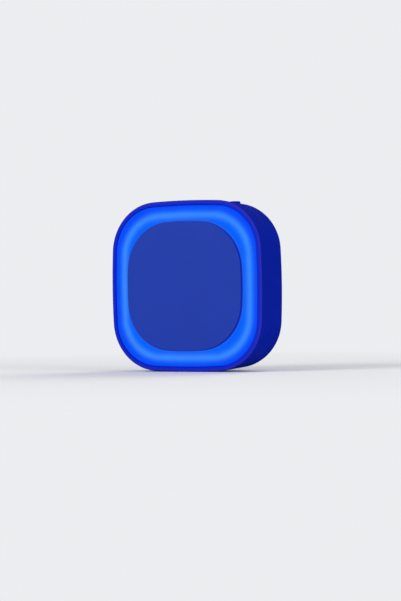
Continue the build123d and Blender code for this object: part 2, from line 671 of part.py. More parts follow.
def make_switch_body():
    width, height, length = SWITCH_SIZE
    x_range = (BUTTON_X - width / 2, BUTTON_X + width / 2)
    depths = (DRIVER_BOARD_FRONT - height, DRIVER_BOARD_FRONT)
    well_radius = PLUNGER_RADIUS + BUTTON_CLEARANCE / 2
    well = post(BUTTON_X, BUTTON_DEPTH, well_radius, SWITCH_WELL_BOTTOM, SWITCH_TOP)
    return block(x_range, depths, (SWITCH_TOP - length, SWITCH_TOP)) - well


NODES = {
    "front_panel": make_front_panel,
    "light_ring": make_light_ring,
    "front_frame": make_front_frame,
    "led_board": make_led_board,
    "leds": make_leds,
    "led_board_screws": make_led_board_screws,
    "rear_housing": make_rear_housing,
    "housing_screws": make_housing_screws,
    "line_blade": lambda: make_blade(1, LINE_BLADE_WIDTH),
    "neutral_blade": lambda: make_blade(-1, NEUTRAL_BLADE_WIDTH),
    "blade_clamp": make_blade_clamp,
    "clamp_screws": make_clamp_screws,
    "driver_board": make_driver_board,
    "driver_board_screws": make_driver_board_screws,
    "film_capacitor": make_film_capacitor,
    "electrolytic_capacitor": make_electrolytic_capacitor,
    "fuse_resistor": make_fuse_resistor,
    "surge_varistor": make_surge_varistor,
    "bridge_rectifier": make_bridge_rectifier,
    "controller_chip": make_controller_chip,
    "driver_transistors": make_driver_transistors,
    "chip_resistors": make_chip_resistors,
    "header_block": make_header_block,
    "header_pins": make_header_pins,
    "line_lead": lambda: make_lead(1),
    "neutral_lead": lambda: make_lead(-1),
    "light_sensor": make_light_sensor,
    "sensor_window": make_sensor_window,
    "mode_button": make_mode_button,
    "switch_plunger": make_switch_plunger,
    "switch_body": make_switch_body,
}


def main():
    os.makedirs("parts", exist_ok=True)
    for name, make in NODES.items():
        made = make()
        shape = Compound(children=made) if isinstance(made, list) else made
        shape.label = name
        export_step(shape, f"parts/{name}.step")


main()
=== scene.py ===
from math import atan2, cos, pi, radians, sin, sqrt

import bmesh
import bpy
from mathutils import Matrix, Vector


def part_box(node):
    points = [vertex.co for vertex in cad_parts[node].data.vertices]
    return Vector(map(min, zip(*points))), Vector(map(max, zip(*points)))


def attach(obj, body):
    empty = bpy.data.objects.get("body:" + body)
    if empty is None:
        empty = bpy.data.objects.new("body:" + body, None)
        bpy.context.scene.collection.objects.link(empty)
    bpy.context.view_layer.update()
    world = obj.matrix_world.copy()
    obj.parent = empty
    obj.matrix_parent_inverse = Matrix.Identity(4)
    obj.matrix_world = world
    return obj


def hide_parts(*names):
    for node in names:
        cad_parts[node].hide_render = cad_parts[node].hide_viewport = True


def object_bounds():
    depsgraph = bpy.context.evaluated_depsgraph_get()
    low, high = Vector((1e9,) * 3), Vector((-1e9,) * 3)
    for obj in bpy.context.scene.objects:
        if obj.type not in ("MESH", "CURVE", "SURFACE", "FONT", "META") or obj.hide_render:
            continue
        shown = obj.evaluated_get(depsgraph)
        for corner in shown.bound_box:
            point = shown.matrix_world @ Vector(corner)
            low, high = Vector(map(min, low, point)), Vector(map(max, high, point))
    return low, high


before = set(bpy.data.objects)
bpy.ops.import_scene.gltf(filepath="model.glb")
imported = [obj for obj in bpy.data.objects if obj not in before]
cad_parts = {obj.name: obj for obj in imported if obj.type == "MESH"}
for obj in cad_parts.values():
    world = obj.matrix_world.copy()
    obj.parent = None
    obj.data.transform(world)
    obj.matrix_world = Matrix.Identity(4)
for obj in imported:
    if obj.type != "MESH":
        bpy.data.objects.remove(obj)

bl_info = {
    "name": "Ring Night Light",
    "version": (1, 0, 0),
    "blender": (4, 5, 0),
    "location": "3D View > Sidebar > Night Light",
    "description": "Finishes a plug-in night light: glowing ring, mouldings, plug, boards and fasteners",
    "category": "Object",
}

MM = 0.001
BODY = "night_light"
CAD_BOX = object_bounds()

SHADER_TREE = "ShaderNodeTree"
GEOMETRY_TREE = "GeometryNodeTree"
FLOAT = "NodeSocketFloat"
VECTOR = "NodeSocketVector"
COUNT = "NodeSocketInt"
GEOMETRY = "NodeSocketGeometry"
MATERIAL = "NodeSocketMaterial"
ROTATION = "NodeSocketRotation"


# ---- the light's own measures ----


def middle_and_half(node):
    """Middle of a node's box, and half its size."""
    low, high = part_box(node)
    return (low + high) / 2, (high - low) / 2


def four_quarters(across, up):
    """The four places this far across and up from the middle of the face."""
    return [(side * across, level * up) for level in (1, -1) for side in (1, -1)]


class Outline:
    """Rounded square with bowed sides. Its three lengths are given in millimetres."""

    def __init__(self, half_width, side_radius, corner_radius):
        self.side_radius = side_radius * MM
        self.corner_radius = corner_radius * MM
        self.side_centre = (side_radius - half_width) * MM
        reach = self.side_radius - self.corner_radius
        self.corner_centre = (sqrt(2 * reach**2 - self.side_centre**2) - self.side_centre) / 2

    def points(self, grow, steps):
        """Points round the outline, from the lower end of its right side, as (across, up) pairs."""
        turn = atan2(self.corner_centre, self.corner_centre + self.side_centre)
        arcs = [
            (-self.side_centre, 0.0, self.side_radius + grow, -turn, 2 * turn),
            (self.corner_centre, self.corner_centre, self.corner_radius + grow, turn, pi / 2 - 2 * turn),
        ]
        found = []
        for quarter in range(4):
            spin = Matrix.Rotation(quarter * pi / 2, 2)
            for across, up, radius, start, sweep in arcs:
                for step in range(steps):
                    angle = start + sweep * step / steps
                    found.append(spin @ Vector((across + radius * cos(angle), up + radius * sin(angle))))
        return found


RING = Outline(half_width=30.58, side_radius=285.5, corner_radius=17.34)
PANEL = Outline(half_width=24.55, side_radius=103.0, corner_radius=18.0)
GLOW_LINE = Outline(half_width=26.98, side_radius=280.0, corner_radius=15.5)

RING_STEP = 0.35 * MM  # how far the ring stands before the face plane
FACE_HEIGHT = middle_and_half("light_ring")[0].z
FACE_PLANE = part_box("light_ring")[0].y + RING_STEP

LAMP_INSET = 3.5 * MM  # from the ring's outline to the line that the lamps stand on
LAMP_LINE_STEPS = 24  # points on each side and each corner of that line
LED_BOARD_FRONT, LED_BOARD_BACK = (corner.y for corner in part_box("led_board"))
DRIVER_BOARD_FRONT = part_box("driver_board")[0].y
CLAMP_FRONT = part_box("blade_clamp")[0].y

SHELF_DEPTH = 12.0 * MM  # from the face plane to the shelf under the housing screws' heads
SCREW_SHELF = FACE_PLANE + SHELF_DEPTH
CLAMP_SCREW_HEIGHT = 1.5 * MM  # above the origin, which is midway between the blades

# Screw places, across and up from the middle of the face
HOUSING_SCREWS = four_quarters(18.5 * MM, 13.0 * MM)
LED_BOARD_SCREWS = four_quarters(9.0 * MM, 18.0 * MM)
DRIVER_BOARD_SCREWS = [(-13.0 * MM, -6.5 * MM), (13.0 * MM, -6.5 * MM), (0.0, 25.0 * MM)]
CLAMP_SCREWS = [(side * 13.5 * MM, CLAMP_SCREW_HEIGHT - FACE_HEIGHT) for side in (-1, 1)]

# Turns that make a screw's head face the rear or the front
TO_REAR = (-pi / 2, 0.0, 0.0)
TO_FRONT = (pi / 2, 0.0, 0.0)

CHIP_COUNT = 8
CHIP_PITCH = 2.3 * MM
FIRST_CHIP = -8.0 * MM
CHIP_HEIGHT = 21.6 * MM  # of the row, above the middle of the face
PIN_COUNT = 4
PIN_PITCH = 2.54 * MM


# ---- colours ----


def seen(red, green, blue):
    """Linear colour of an 8-bit display colour."""
    def linear(level):
        share = level / 255
        return share / 12.92 if share <= 0.04045 else ((share + 0.055) / 1.055) ** 2.4
    return (linear(red), linear(green), linear(blue), 1.0)


def tint(red, green, blue):
    """Linear colour of three plain shares."""
    return (red, green, blue, 1.0)


def scaled(colour, factor):
    """The same colour, darker or lighter."""
    return (*(min(1.0, channel * factor) for channel in colour[:3]), 1.0)


BLACK = tint(0.0, 0.0, 0.0)
WHITE = tint(1.0, 1.0, 1.0)
RUBBED_EDGE = seen(150, 172, 235)
DUST = seen(170, 176, 196)

BLADE_METAL = tint(0.72, 0.69, 0.61)
BLADE_TARNISH = tint(0.62, 0.58, 0.49)
TIN = tint(0.66, 0.66, 0.65)
DULL_TIN = tint(0.5, 0.5, 0.48)
FOOT_METAL = tint(0.75, 0.74, 0.7)
DULL_FOOT = tint(0.6, 0.6, 0.58)
GOLD = tint(0.80, 0.60, 0.25)
DULL_GOLD = tint(0.66, 0.47, 0.17)

CLAMP_GREY = tint(0.045, 0.046, 0.05)
HEADER_BLACK = tint(0.025, 0.025, 0.028)
SWITCH_BLACK = tint(0.03, 0.03, 0.033)
LINE_BLACK = tint(0.02, 0.02, 0.02)
NEUTRAL_WHITE = tint(0.78, 0.78, 0.75)
WINDOW_TINT = tint(0.55, 0.66, 0.90)
SENSOR_TINT = tint(0.10, 0.10, 0.14)

PLATED_PAD = tint(0.62, 0.61, 0.56)
OPEN_HOLE = tint(0.02, 0.02, 0.02)
PALE_LAMINATE = tint(0.55, 0.50, 0.32)
LAMINATE = tint(0.45, 0.42, 0.22)
DARK_INK = tint(0.12, 0.12, 0.13)
PALE_INK = tint(0.78, 0.78, 0.76)

LAMP_PACKAGE = tint(0.82, 0.80, 0.70)
LAMP_PACKAGE_SHADE = tint(0.7, 0.68, 0.58)
PHOSPHOR_SHADE = tint(0.62, 0.45, 0.06)
FILM_BLACK = tint(0.02, 0.02, 0.023)
FILM_SHADE = tint(0.035, 0.035, 0.04)
CERAMIC = tint(0.8, 0.8, 0.78)
CERAMIC_SHADE = tint(0.7, 0.7, 0.68)

CAPACITOR_AMBER = tint(0.60, 0.36, 0.03)
VARISTOR_BLUE = tint(0.02, 0.09, 0.45)
SLEEVE_BLACK = tint(0.02, 0.02, 0.03)
SLEEVE_STRIPE = tint(0.5, 0.5, 0.52)
RESISTOR_BLUE = tint(0.11, 0.35, 0.45)
BAND_BROWN = tint(0.1, 0.03, 0.01)
BAND_GOLD = tint(0.6, 0.4, 0.05)
EPOXY_BLACK = tint(0.015, 0.015, 0.017)


# ---- node trees ----


class Wiring:
    """Adds nodes to a tree. A socket is given a plain value or another node's output."""

    def __init__(self, tree):
        self.tree = tree

    def feed(self, socket, value):
        if isinstance(value, bpy.types.NodeSocket):
            self.tree.links.new(value, socket)
        elif value is not None:
            socket.default_value = value

    def add(self, kind, *values, named=None, **settings):
        """A new node. Values go to its sockets in order or by name; settings are the node's own options."""
        node = self.tree.nodes.new(kind)
        for name, value in settings.items():
            setattr(node, name, value)
        for socket, value in zip(node.inputs, values):
            self.feed(socket, value)
        for name, value in (named or {}).items():
            self.feed(node.inputs[name], value)
        return node

    def use(self, group, **values):
        """Places a shared group; an underscore in a name stands for a space."""
        named = {name.replace("_", " "): value for name, value in values.items()}
        return self.add("ShaderNodeGroup", node_tree=bpy.data.node_groups[group], named=named).outputs

    def math(self, operation, *values):
        return self.add("ShaderNodeMath", *values, operation=operation).outputs[0]

    def plus(self, first, second):
        return self.math("ADD", first, second)

    def minus(self, first, second):
        return self.math("SUBTRACT", first, second)

    def times(self, first, second):
        return self.math("MULTIPLY", first, second)

    def over(self, first, second):
        return self.math("DIVIDE", first, second)

    def unsigned(self, value):
        """The value without its sign."""
        return self.math("ABSOLUTE", value)

    def vector(self, operation, *values):
        node = self.add("ShaderNodeVectorMath", *values, operation=operation)
        return node.outputs["Value" if operation in ("LENGTH", "DOT_PRODUCT") else "Vector"]

    def split(self, point):
        return self.add("ShaderNodeSeparateXYZ", point).outputs

    def joined(self, x, y, z):
        return self.add("ShaderNodeCombineXYZ", x, y, z).outputs[0]

    def along_z(self, height):
        return self.joined(0.0, 0.0, height)

    def length(self, x, y):
        return self.vector("LENGTH", self.joined(x, y, 0.0))

    def normal(self):
        """The direction that the surface faces."""
        return self.add("ShaderNodeNewGeometry").outputs["Normal"]

    def step(self, value, low, high, first=0.0, last=1.0):
        """Smooth change from first to last while the value goes from low to high."""
        node = self.add("ShaderNodeMapRange", value, low, high, first, last, interpolation_type="SMOOTHSTEP")
        return node.outputs["Result"]

    def fade(self, value, low, high):
        """Smooth fall from one to zero while the value goes from low to high."""
        return self.step(value, low, high, 1.0, 0.0)

    def blend(self, factor, first, second, blend_type="MIX"):
        node = self.add("ShaderNodeMix", data_type="RGBA", blend_type=blend_type)
        for index, value in zip((0, 6, 7), (factor, first, second)):
            self.feed(node.inputs[index], value)
        return node.outputs[2]

    def shaded(self, colour, shade):
        """The colour, darker or lighter by a value."""
        return self.blend(1.0, colour, self.joined(shade, shade, shade), "MULTIPLY")

    def noise(self, point, size, detail=2.0, roughness=0.5):
        named = {"Vector": point, "Scale": self.per(size), "Detail": detail, "Roughness": roughness}
        return self.add("ShaderNodeTexNoise", named=named).outputs["Fac"]

    def per(self, size):
        """The scale of a texture whose pattern has this size."""
        return self.over(1.0, size) if isinstance(size, bpy.types.NodeSocket) else 1.0 / size

    def looked_at(self):
        """One for what the camera sees, also by way of metal and glass, and zero for the lighting."""
        ray = self.add("ShaderNodeLightPath").outputs
        plain = self.math("MAXIMUM", ray["Is Camera Ray"], ray["Is Glossy Ray"])
        return self.math("MAXIMUM", plain, ray["Is Transmission Ray"])


def new_group(name, kind, inputs, outputs):
    """A node group with named sockets. Returns its wiring, its given values and its results."""
    tree = bpy.data.node_groups.new(name, kind)
    for label, (socket_type, default) in inputs.items():
        socket = tree.interface.new_socket(label, in_out="INPUT", socket_type=socket_type)
        if default is not None:
            socket.default_value = default
    for label, socket_type in outputs.items():
        tree.interface.new_socket(label, in_out="OUTPUT", socket_type=socket_type)
    given = tree.nodes.new("NodeGroupInput").outputs
    results = tree.nodes.new("NodeGroupOutput").inputs
    return Wiring(tree), given, results


# ---- shared surface effects ----


def make_outline_distance():
    """How far a point lies inside a rounded square centred on the face."""
    inputs = {
        "Point": (VECTOR, None),
        "Face height": (FLOAT, FACE_HEIGHT),
        "Side centre": (FLOAT, RING.side_centre),
        "Side radius": (FLOAT, RING.side_radius),
        "Corner centre": (FLOAT, RING.corner_centre),
        "Corner radius": (FLOAT, RING.corner_radius),
    }
    w, given, results = new_group("outline_distance", SHADER_TREE, inputs, {"Inside": FLOAT})
    place = w.split(given["Point"])
    across = w.unsigned(place["X"])
    up = w.unsigned(w.minus(place["Z"], given["Face height"]))
    far = w.math("MAXIMUM", across, up)
    near = w.math("MINIMUM", across, up)
    from_side = w.plus(far, given["Side centre"])
    side = w.minus(given["Side radius"], w.length(from_side, near))
    corner_far = w.minus(far, given["Corner centre"])
    corner_near = w.minus(near, given["Corner centre"])
    corner = w.minus(given["Corner radius"], w.length(corner_far, corner_near))
    slope = w.times(near, w.plus(given["Side centre"], given["Corner centre"]))
    in_corner = w.math("GREATER_THAN", slope, w.times(from_side, given["Corner centre"]))
    w.feed(results["Inside"], w.plus(side, w.times(in_corner, w.minus(corner, side))))


def make_moulded_grain():
    """Spark-eroded mould texture: a fine grain to bump and a slow mottle for colour and gloss."""
    inputs = {"Point": (VECTOR, None), "Size": (FLOAT, 0.22 * MM), "Mottle size": (FLOAT, 9 * MM)}
    outputs = {"Height": FLOAT, "Mottle": FLOAT}
    w, given, results = new_group("moulded_grain", SHADER_TREE, inputs, outputs)
    fine = w.noise(given["Point"], given["Size"], detail=3.0, roughness=0.6)
    coarse = w.noise(given["Point"], w.times(given["Size"], 3.1), detail=1.0)
    w.feed(results["Height"], w.plus(fine, w.times(coarse, 0.6)))
    slow = w.noise(given["Point"], given["Mottle size"])
    w.feed(results["Mottle"], w.step(slow, 0.3, 0.7))


def make_edge_wear():
    """Mask of the sharp outer edges, broken up as handling rubs them."""
    inputs = {"Point": (VECTOR, None), "Radius": (FLOAT, 0.4 * MM), "Amount": (FLOAT, 0.5)}
    w, given, results = new_group("edge_wear", SHADER_TREE, inputs, {"Mask": FLOAT})
    rounded = w.add("ShaderNodeBevel", given["Radius"], samples=4).outputs["Normal"]
    sharpness = w.minus(1.0, w.vector("DOT_PRODUCT", rounded, w.normal()))
    edge = w.step(sharpness, 0.015, 0.14)
    patches = w.noise(given["Point"], 2.2 * MM, detail=4.0, roughness=0.65)
    patchy = w.step(patches, 0.36, 0.62, first=0.25)
    w.feed(results["Mask"], w.times(w.times(edge, patchy), given["Amount"]))


def make_settled_dust():
    """Mask of the dust that lies on what faces up."""
    inputs = {"Point": (VECTOR, None), "Amount": (FLOAT, 0.1)}
    w, given, results = new_group("settled_dust", SHADER_TREE, inputs, {"Mask": FLOAT})
    level = w.step(w.split(w.normal())["Z"], 0.25, 0.95)
    grit = w.noise(given["Point"], 0.35 * MM, detail=5.0, roughness=0.7)
    specks = w.step(grit, 0.5, 0.72, first=0.2)
    w.feed(results["Mask"], w.times(w.times(level, specks), given["Amount"]))


def make_drawn_metal():
    """Long fine scratches along one direction, with a slow tarnish."""
    inputs = {"Point": (VECTOR, None), "Stretch": (VECTOR, (1.0, 0.04, 1.0)), "Size": (FLOAT, 0.08 * MM)}
    outputs = {"Height": FLOAT, "Tarnish": FLOAT}
    w, given, results = new_group("drawn_metal", SHADER_TREE, inputs, outputs)
    stretched = w.vector("MULTIPLY", given["Point"], given["Stretch"])
    w.feed(results["Height"], w.noise(stretched, given["Size"], detail=3.0, roughness=0.7))
    clouds = w.noise(given["Point"], 3.0 * MM, detail=3.0)
    w.feed(results["Tarnish"], w.step(clouds, 0.35, 0.7))


def make_copper_layer():
    """Copper under a board's solder mask: patches that are solid or a bundle of tracks, and plated holes."""
    inputs = {
        "Point": (VECTOR, None),
        "Patch size": (FLOAT, 5.5 * MM),
        "Track pitch": (FLOAT, 0.8 * MM),
        "Jog": (FLOAT, 1.2 * MM),
        "Hole spacing": (FLOAT, 3.4 * MM),
        "Hole radius": (FLOAT, 0.17 * MM),
    }
    outputs = {"Copper": FLOAT, "Pads": FLOAT, "Holes": FLOAT}
    w, given, results = new_group("copper_layer", SHADER_TREE, inputs, outputs)
    place = w.split(given["Point"])
    flat = w.joined(place["X"], place["Z"], 0.0)
    track_core, track_edge = 0.2, 0.26  # from a track's middle, in shares of the pitch
    solid_below, level_above = 0.34, 0.62  # of a patch's own random value, with upright tracks between
    undrilled = 0.55  # share of the hole places that stay bare
    pad_ratio = 2.1  # of a pad's radius to its hole's

    def tracks(along, across):
        fold = w.math("PINGPONG", along, w.times(given["Jog"], 3.5))
        slant = w.minus(fold, given["Jog"])
        shift = w.math("MINIMUM", w.math("MAXIMUM", slant, 0.0), given["Jog"])
        lane = w.math("FRACT", w.over(w.plus(across, shift), given["Track pitch"]))
        return w.fade(w.unsigned(w.minus(lane, 0.5)), track_core, track_edge)

    patches = {
        "Vector": flat,
        "Color1": BLACK,
        "Color2": WHITE,
        "Mortar": BLACK,
        "Scale": w.per(given["Patch size"]),
        "Mortar Size": 0.03,
        "Mortar Smooth": 0.1,
        "Brick Width": 1.6,
        "Row Height": 0.9,
    }
    patch = w.add("ShaderNodeTexBrick", named=patches, offset=0.37, squash=0.6, squash_frequency=3)
    kind = w.split(patch.outputs["Color"])["X"]
    upright = tracks(place["Z"], place["X"])
    level = tracks(place["X"], place["Z"])
    bundle = w.blend(w.math("GREATER_THAN", kind, level_above), upright, level)
    filled = w.blend(w.math("LESS_THAN", kind, solid_below), bundle, WHITE)
    apart = w.minus(1.0, patch.outputs["Fac"])
    w.feed(results["Copper"], w.times(w.split(filled)["X"], apart))

    dots = {"Vector": flat, "Scale": w.per(given["Hole spacing"]), "Randomness": 0.7}
    dot = w.add("ShaderNodeTexVoronoi", named=dots, voronoi_dimensions="2D").outputs
    chosen = w.math("GREATER_THAN", w.split(dot["Color"])["X"], undrilled)
    reach = w.times(dot["Distance"], given["Hole spacing"])
    radius = given["Hole radius"]
    wide = w.times(radius, pad_ratio)
    w.feed(results["Pads"], w.times(w.fade(reach, w.times(wide, 0.94), wide), chosen))
    w.feed(results["Holes"], w.times(w.fade(reach, w.times(radius, 0.9), radius), chosen))


def make_printed_frame():
    """Outline of a rectangle, as printed round a component on a board's face."""
    inputs = {
        "Point": (VECTOR, None),
        "Middle": (VECTOR, None),
        "Half size": (VECTOR, None),
        "Line width": (FLOAT, 0.16 * MM),
    }
    w, given, results = new_group("printed_frame", SHADER_TREE, inputs, {"Mask": FLOAT})
    from_middle = w.vector("ABSOLUTE", w.vector("SUBTRACT", given["Point"], given["Middle"]))
    past = w.split(w.vector("SUBTRACT", from_middle, given["Half size"]))
    edge = w.unsigned(w.math("MAXIMUM", past["X"], past["Z"]))
    half = w.over(given["Line width"], 2.0)
    w.feed(results["Mask"], w.fade(edge, half, w.times(half, 1.4)))


# ---- finishes ----

WORN_POLISH = 0.2  # how much smoother a rubbed edge is
DUST_ROUGHNESS = 0.6  # how much rougher a dusty place is


class Finish(Wiring):
    """A material in the making: its nodes, its shader and the surface's own coordinates."""

    def __init__(self, name, **constants):
        self.material = bpy.data.materials.new(name)
        self.material.use_nodes = True
        super().__init__(self.material.node_tree)
        self.tree.nodes.clear()
        self.shader = self.add("ShaderNodeBsdfPrincipled")
        self.output = self.add("ShaderNodeOutputMaterial", self.shader.outputs[0])
        self.point = self.add("ShaderNodeTexCoord").outputs["Object"]
        for label, value in constants.items():
            self.set(label.replace("_", " "), value)

    def set(self, label, value):
        self.feed(self.shader.inputs[label], value)

    def gloss(self, texture, smoothest, roughest):
        """Roughness that follows a noise."""
        self.set("Roughness", self.step(texture, 0.2, 0.8, smoothest, roughest))

    def bump(self, height, relief):
        node = self.add("ShaderNodeBump", named={"Height": height, "Distance": relief, "Strength": 1.0})
        self.set("Normal", node.outputs["Normal"])

    def inside(self, outline, offset=(0.0, 0.0, 0.0)):
        """Distance inside an outline, which may be set off the middle."""
        centred = self.vector("SUBTRACT", self.point, offset)
        return self.use(
            "outline_distance",
            Point=centred,
            Side_centre=outline.side_centre,
            Side_radius=outline.side_radius,
            Corner_centre=outline.corner_centre,
            Corner_radius=outline.corner_radius,
        )["Inside"]

    def moulded(self, colour, roughness, relief=0.006 * MM, wear=0.0, dust=0.0, mottle=0.05):
        """Base colour, gloss and grain of a moulding. The colour may be a node's output."""
        texture = self.use("moulded_grain", Point=self.point)
        base = self.shaded(colour, self.minus(1.0, self.times(texture["Mottle"], mottle)))
        rough = self.step(texture["Mottle"], 0.0, 1.0, roughness - 0.04, roughness + 0.05)
        if wear:
            mask = self.use("edge_wear", Point=self.point, Amount=wear)["Mask"]
            base = self.blend(mask, base, RUBBED_EDGE)
            rough = self.minus(rough, self.times(mask, WORN_POLISH))
        if dust:
            mask = self.use("settled_dust", Point=self.point, Amount=dust)["Mask"]
            base = self.blend(mask, base, DUST)
            rough = self.plus(rough, self.times(mask, DUST_ROUGHNESS))
        self.set("Base Color", base)
        self.set("Roughness", rough)
        self.bump(texture["Height"], relief)


def panel_finish(look):
    """Plain panel, whose low side wall has painted shade, deepest where it faces right and down."""
    f = Finish("panel_plastic", Specular_IOR_Level=0.05)
    normal = f.split(f.normal())
    wall = f.fade(f.unsigned(normal["Y"]), 0.45, 0.98)
    # painted shade: the side wall darkens most where it faces right and down
    away = f.step(f.minus(normal["X"], normal["Z"]), -0.6, 0.7, first=0.25, last=1.0)
    colour = f.blend(f.times(wall, away), look.panel_colour, look.painted_panel_wall_shade)
    f.moulded(colour, 0.5, relief=0.004 * MM, wear=0.03, dust=0.02, mottle=0.03)
    return f.material


def ring_finish(look):
    """Milky diffuser: a bright line over the lamps that fades to a deeper colour on either side, with
    painted shade in the gap at its outer edge and at the panel's foot.
    """
    f = Finish("ring_diffuser", Specular_IOR_Level=0.015, Emission_Strength=1.0)
    offset = (look.core_offset[0], 0.0, look.core_offset[1])
    from_line = f.inside(GLOW_LINE, offset)
    widths = f.unsigned(f.over(from_line, look.core_width))
    core = f.math("EXPONENT", f.times(-1.0, f.math("POWER", widths, 2.0)))
    flank_start, flank_end = -1.2 * MM, 3.0 * MM
    inner_side = f.step(from_line, flank_start, flank_end)
    flank = f.blend(inner_side, look.outer_glow, look.inner_glow)
    glow = f.blend(core, flank, look.core_glow)
    # painted shade in the gap between the ring and the rim
    gap_shade_width = 0.4 * MM
    rim = f.fade(f.inside(RING), 0.0, gap_shade_width)
    glow = f.blend(f.times(rim, 0.6), glow, look.painted_gap_shade)
    # painted shade, with a purplish tint, where the ring meets the panel's wall
    foot_start, foot_end = -0.9 * MM, -0.1 * MM
    foot = f.step(f.inside(PANEL), foot_start, foot_end)
    glow = f.blend(f.times(foot, 0.6), glow, look.painted_foot_shade)
    cloud = f.noise(f.point, 6.0 * MM)
    glow = f.shaded(glow, f.step(cloud, 0.25, 0.75, first=0.965, last=1.035))
    added = f.vector("SUBTRACT", glow, look.ring_colour[:3])
    f.set("Emission Color", f.vector("MAXIMUM", added, (0.0, 0.0, 0.0)))
    f.moulded(look.ring_colour, 0.6, relief=0.003 * MM)
    return f.material


def frame_finish(look):
    """Housing colour, which turns on the front edge round the ring to a brighter, painted lit copy of the
    same plastic, with painted light from the ring beside it and a painted highlight on its outermost line.
    """
    f = Finish("rim_plastic", Specular_IOR_Level=0.01)
    outside = f.times(-1.0, f.inside(RING))
    depth = f.split(f.point)["Y"]
    # painted light and shade: the front face takes the lit copy of the plastic, the sides its shaded copy
    front_start, front_end = FACE_PLANE + 0.05 * MM, FACE_PLANE + 0.5 * MM
    front = f.fade(depth, front_start, front_end)
    # painted light: the ring's glow spilled onto the rim right beside it
    spill_start, spill_end = 0.1 * MM, 1.1 * MM
    painted_spill = f.fade(outside, spill_start, spill_end)
    rim = f.blend(painted_spill, look.lit_rim_colour, look.painted_spill_colour)
    # painted highlight along the rim's rounded outer edge
    highlight_start, highlight_end = 1.15 * MM, 1.55 * MM
    edge = f.step(outside, highlight_start, highlight_end, last=0.6)
    rim = f.blend(edge, rim, look.painted_rim_highlight)
    f.moulded(f.blend(front, look.shaded_housing_colour, rim), 0.85, wear=0.03, dust=0.02)
    return f.material


def housing_finish(look):
    """Side walls and rear, with the mould's grain."""
    f = Finish("housing_plastic", Specular_IOR_Level=0.01)
    # the housing colour is the shaded copy of the rim's plastic, so the housing carries painted shade
    f.moulded(look.shaded_housing_colour, 0.85, relief=0.008 * MM, wear=0.03, dust=0.02)
    return f.material


def button_finish(look):
    """The housing's colour, a little lighter and glossier."""
    f = Finish("button_plastic", Specular_IOR_Level=0.02)
    f.moulded(scaled(look.shaded_housing_colour, 1.1), 0.7, relief=0.005 * MM, wear=0.05, dust=0.02)
    return f.material


def dark_moulding(name, colour, roughness):
    """Plain technical moulding of a piece inside the body."""
    f = Finish(name, Specular_IOR_Level=0.4)
    f.moulded(colour, roughness, wear=0.08)
    return f.material


def metal_finish(name, colour, tarnish, roughness, relief=0.003 * MM, spread=0.08, **drawing):
    """Plated metal with drawing lines and a slow change of tint."""
    f = Finish(name, Metallic=1.0)
    drawn = f.use("drawn_metal", Point=f.point, **drawing)
    f.set("Base Color", f.blend(drawn["Tarnish"], colour, tarnish))
    f.gloss(drawn["Height"], roughness - spread, roughness + spread)
    f.bump(drawn["Height"], relief)
    return f.material


def board_finish(name, mask_colour, copper_colour, edge_colour, ink, components):
    """Solder mask over copper, component outlines in ink, and the bare laminate at the board's edges."""
    f = Finish(name, Specular_IOR_Level=0.5)
    layer = f.use("copper_layer", Point=f.point)
    faced = f.blend(layer["Copper"], mask_colour, copper_colour)
    faced = f.blend(layer["Pads"], faced, PLATED_PAD)
    faced = f.blend(layer["Holes"], faced, OPEN_HOLE)
    printed = 0.0
    print_margin = Vector((0.35, 0.0, 0.35)) * MM
    for node in components:
        middle, half = middle_and_half(node)
        mask = f.use("printed_frame", Point=f.point, Middle=middle, Half_size=half + print_margin)["Mask"]
        printed = f.math("MAXIMUM", printed, mask)
    faced = f.blend(printed, faced, ink)
    side = f.fade(f.unsigned(f.split(f.normal())["Y"]), 0.3, 0.8)
    weave = f.noise(f.point, 0.3 * MM, detail=4.0, roughness=0.7)
    laminate = f.blend(weave, edge_colour, scaled(edge_colour, 0.7))
    f.set("Base Color", f.blend(side, faced, laminate))
    f.set("Roughness", f.step(side, 0.0, 1.0, first=0.32, last=0.7))
    height = f.minus(f.math("MAXIMUM", layer["Copper"], layer["Pads"]), layer["Holes"])
    f.bump(f.plus(height, f.times(weave, 0.15)), 0.02 * MM)
    return f.material


def lacquer_finish(name, colour, roughness, relief):
    """Dipped or sleeved skin with a faint orange peel."""
    f = Finish(name, Specular_IOR_Level=0.5, Coat_Weight=0.25, Coat_Roughness=0.15)
    peel = f.noise(f.point, 0.9 * MM)
    f.set("Base Color", f.blend(f.step(peel, 0.3, 0.7), colour, scaled(colour, 0.92)))
    f.gloss(peel, roughness - 0.05, roughness + 0.07)
    f.bump(peel, relief)
    return f.material


def sleeve_finish():
    """Capacitor can: a dark sleeve with a pale polarity stripe and bare metal at its ends."""
    middle, half = middle_and_half("electrolytic_capacitor")
    f = Finish("capacitor_sleeve", Specular_IOR_Level=0.5)
    place = f.split(f.vector("SUBTRACT", f.point, middle))
    cap_length = 0.25 * MM
    end = f.step(f.unsigned(place["X"]), half.x - cap_length, half.x)
    wrinkle = f.noise(f.point, 0.6 * MM, detail=3.0)
    stripe_start, stripe_full = 1.3 * MM, 1.6 * MM  # above the can's axis
    stripe = f.step(place["Z"], stripe_start, stripe_full)
    sleeve = f.blend(wrinkle, SLEEVE_BLACK, scaled(SLEEVE_BLACK, 1.6))
    f.set("Base Color", f.blend(end, f.blend(stripe, sleeve, SLEEVE_STRIPE), TIN))
    f.set("Metallic", end)
    f.gloss(wrinkle, 0.2, 0.34)
    f.bump(wrinkle, 0.01 * MM)
    return f.material


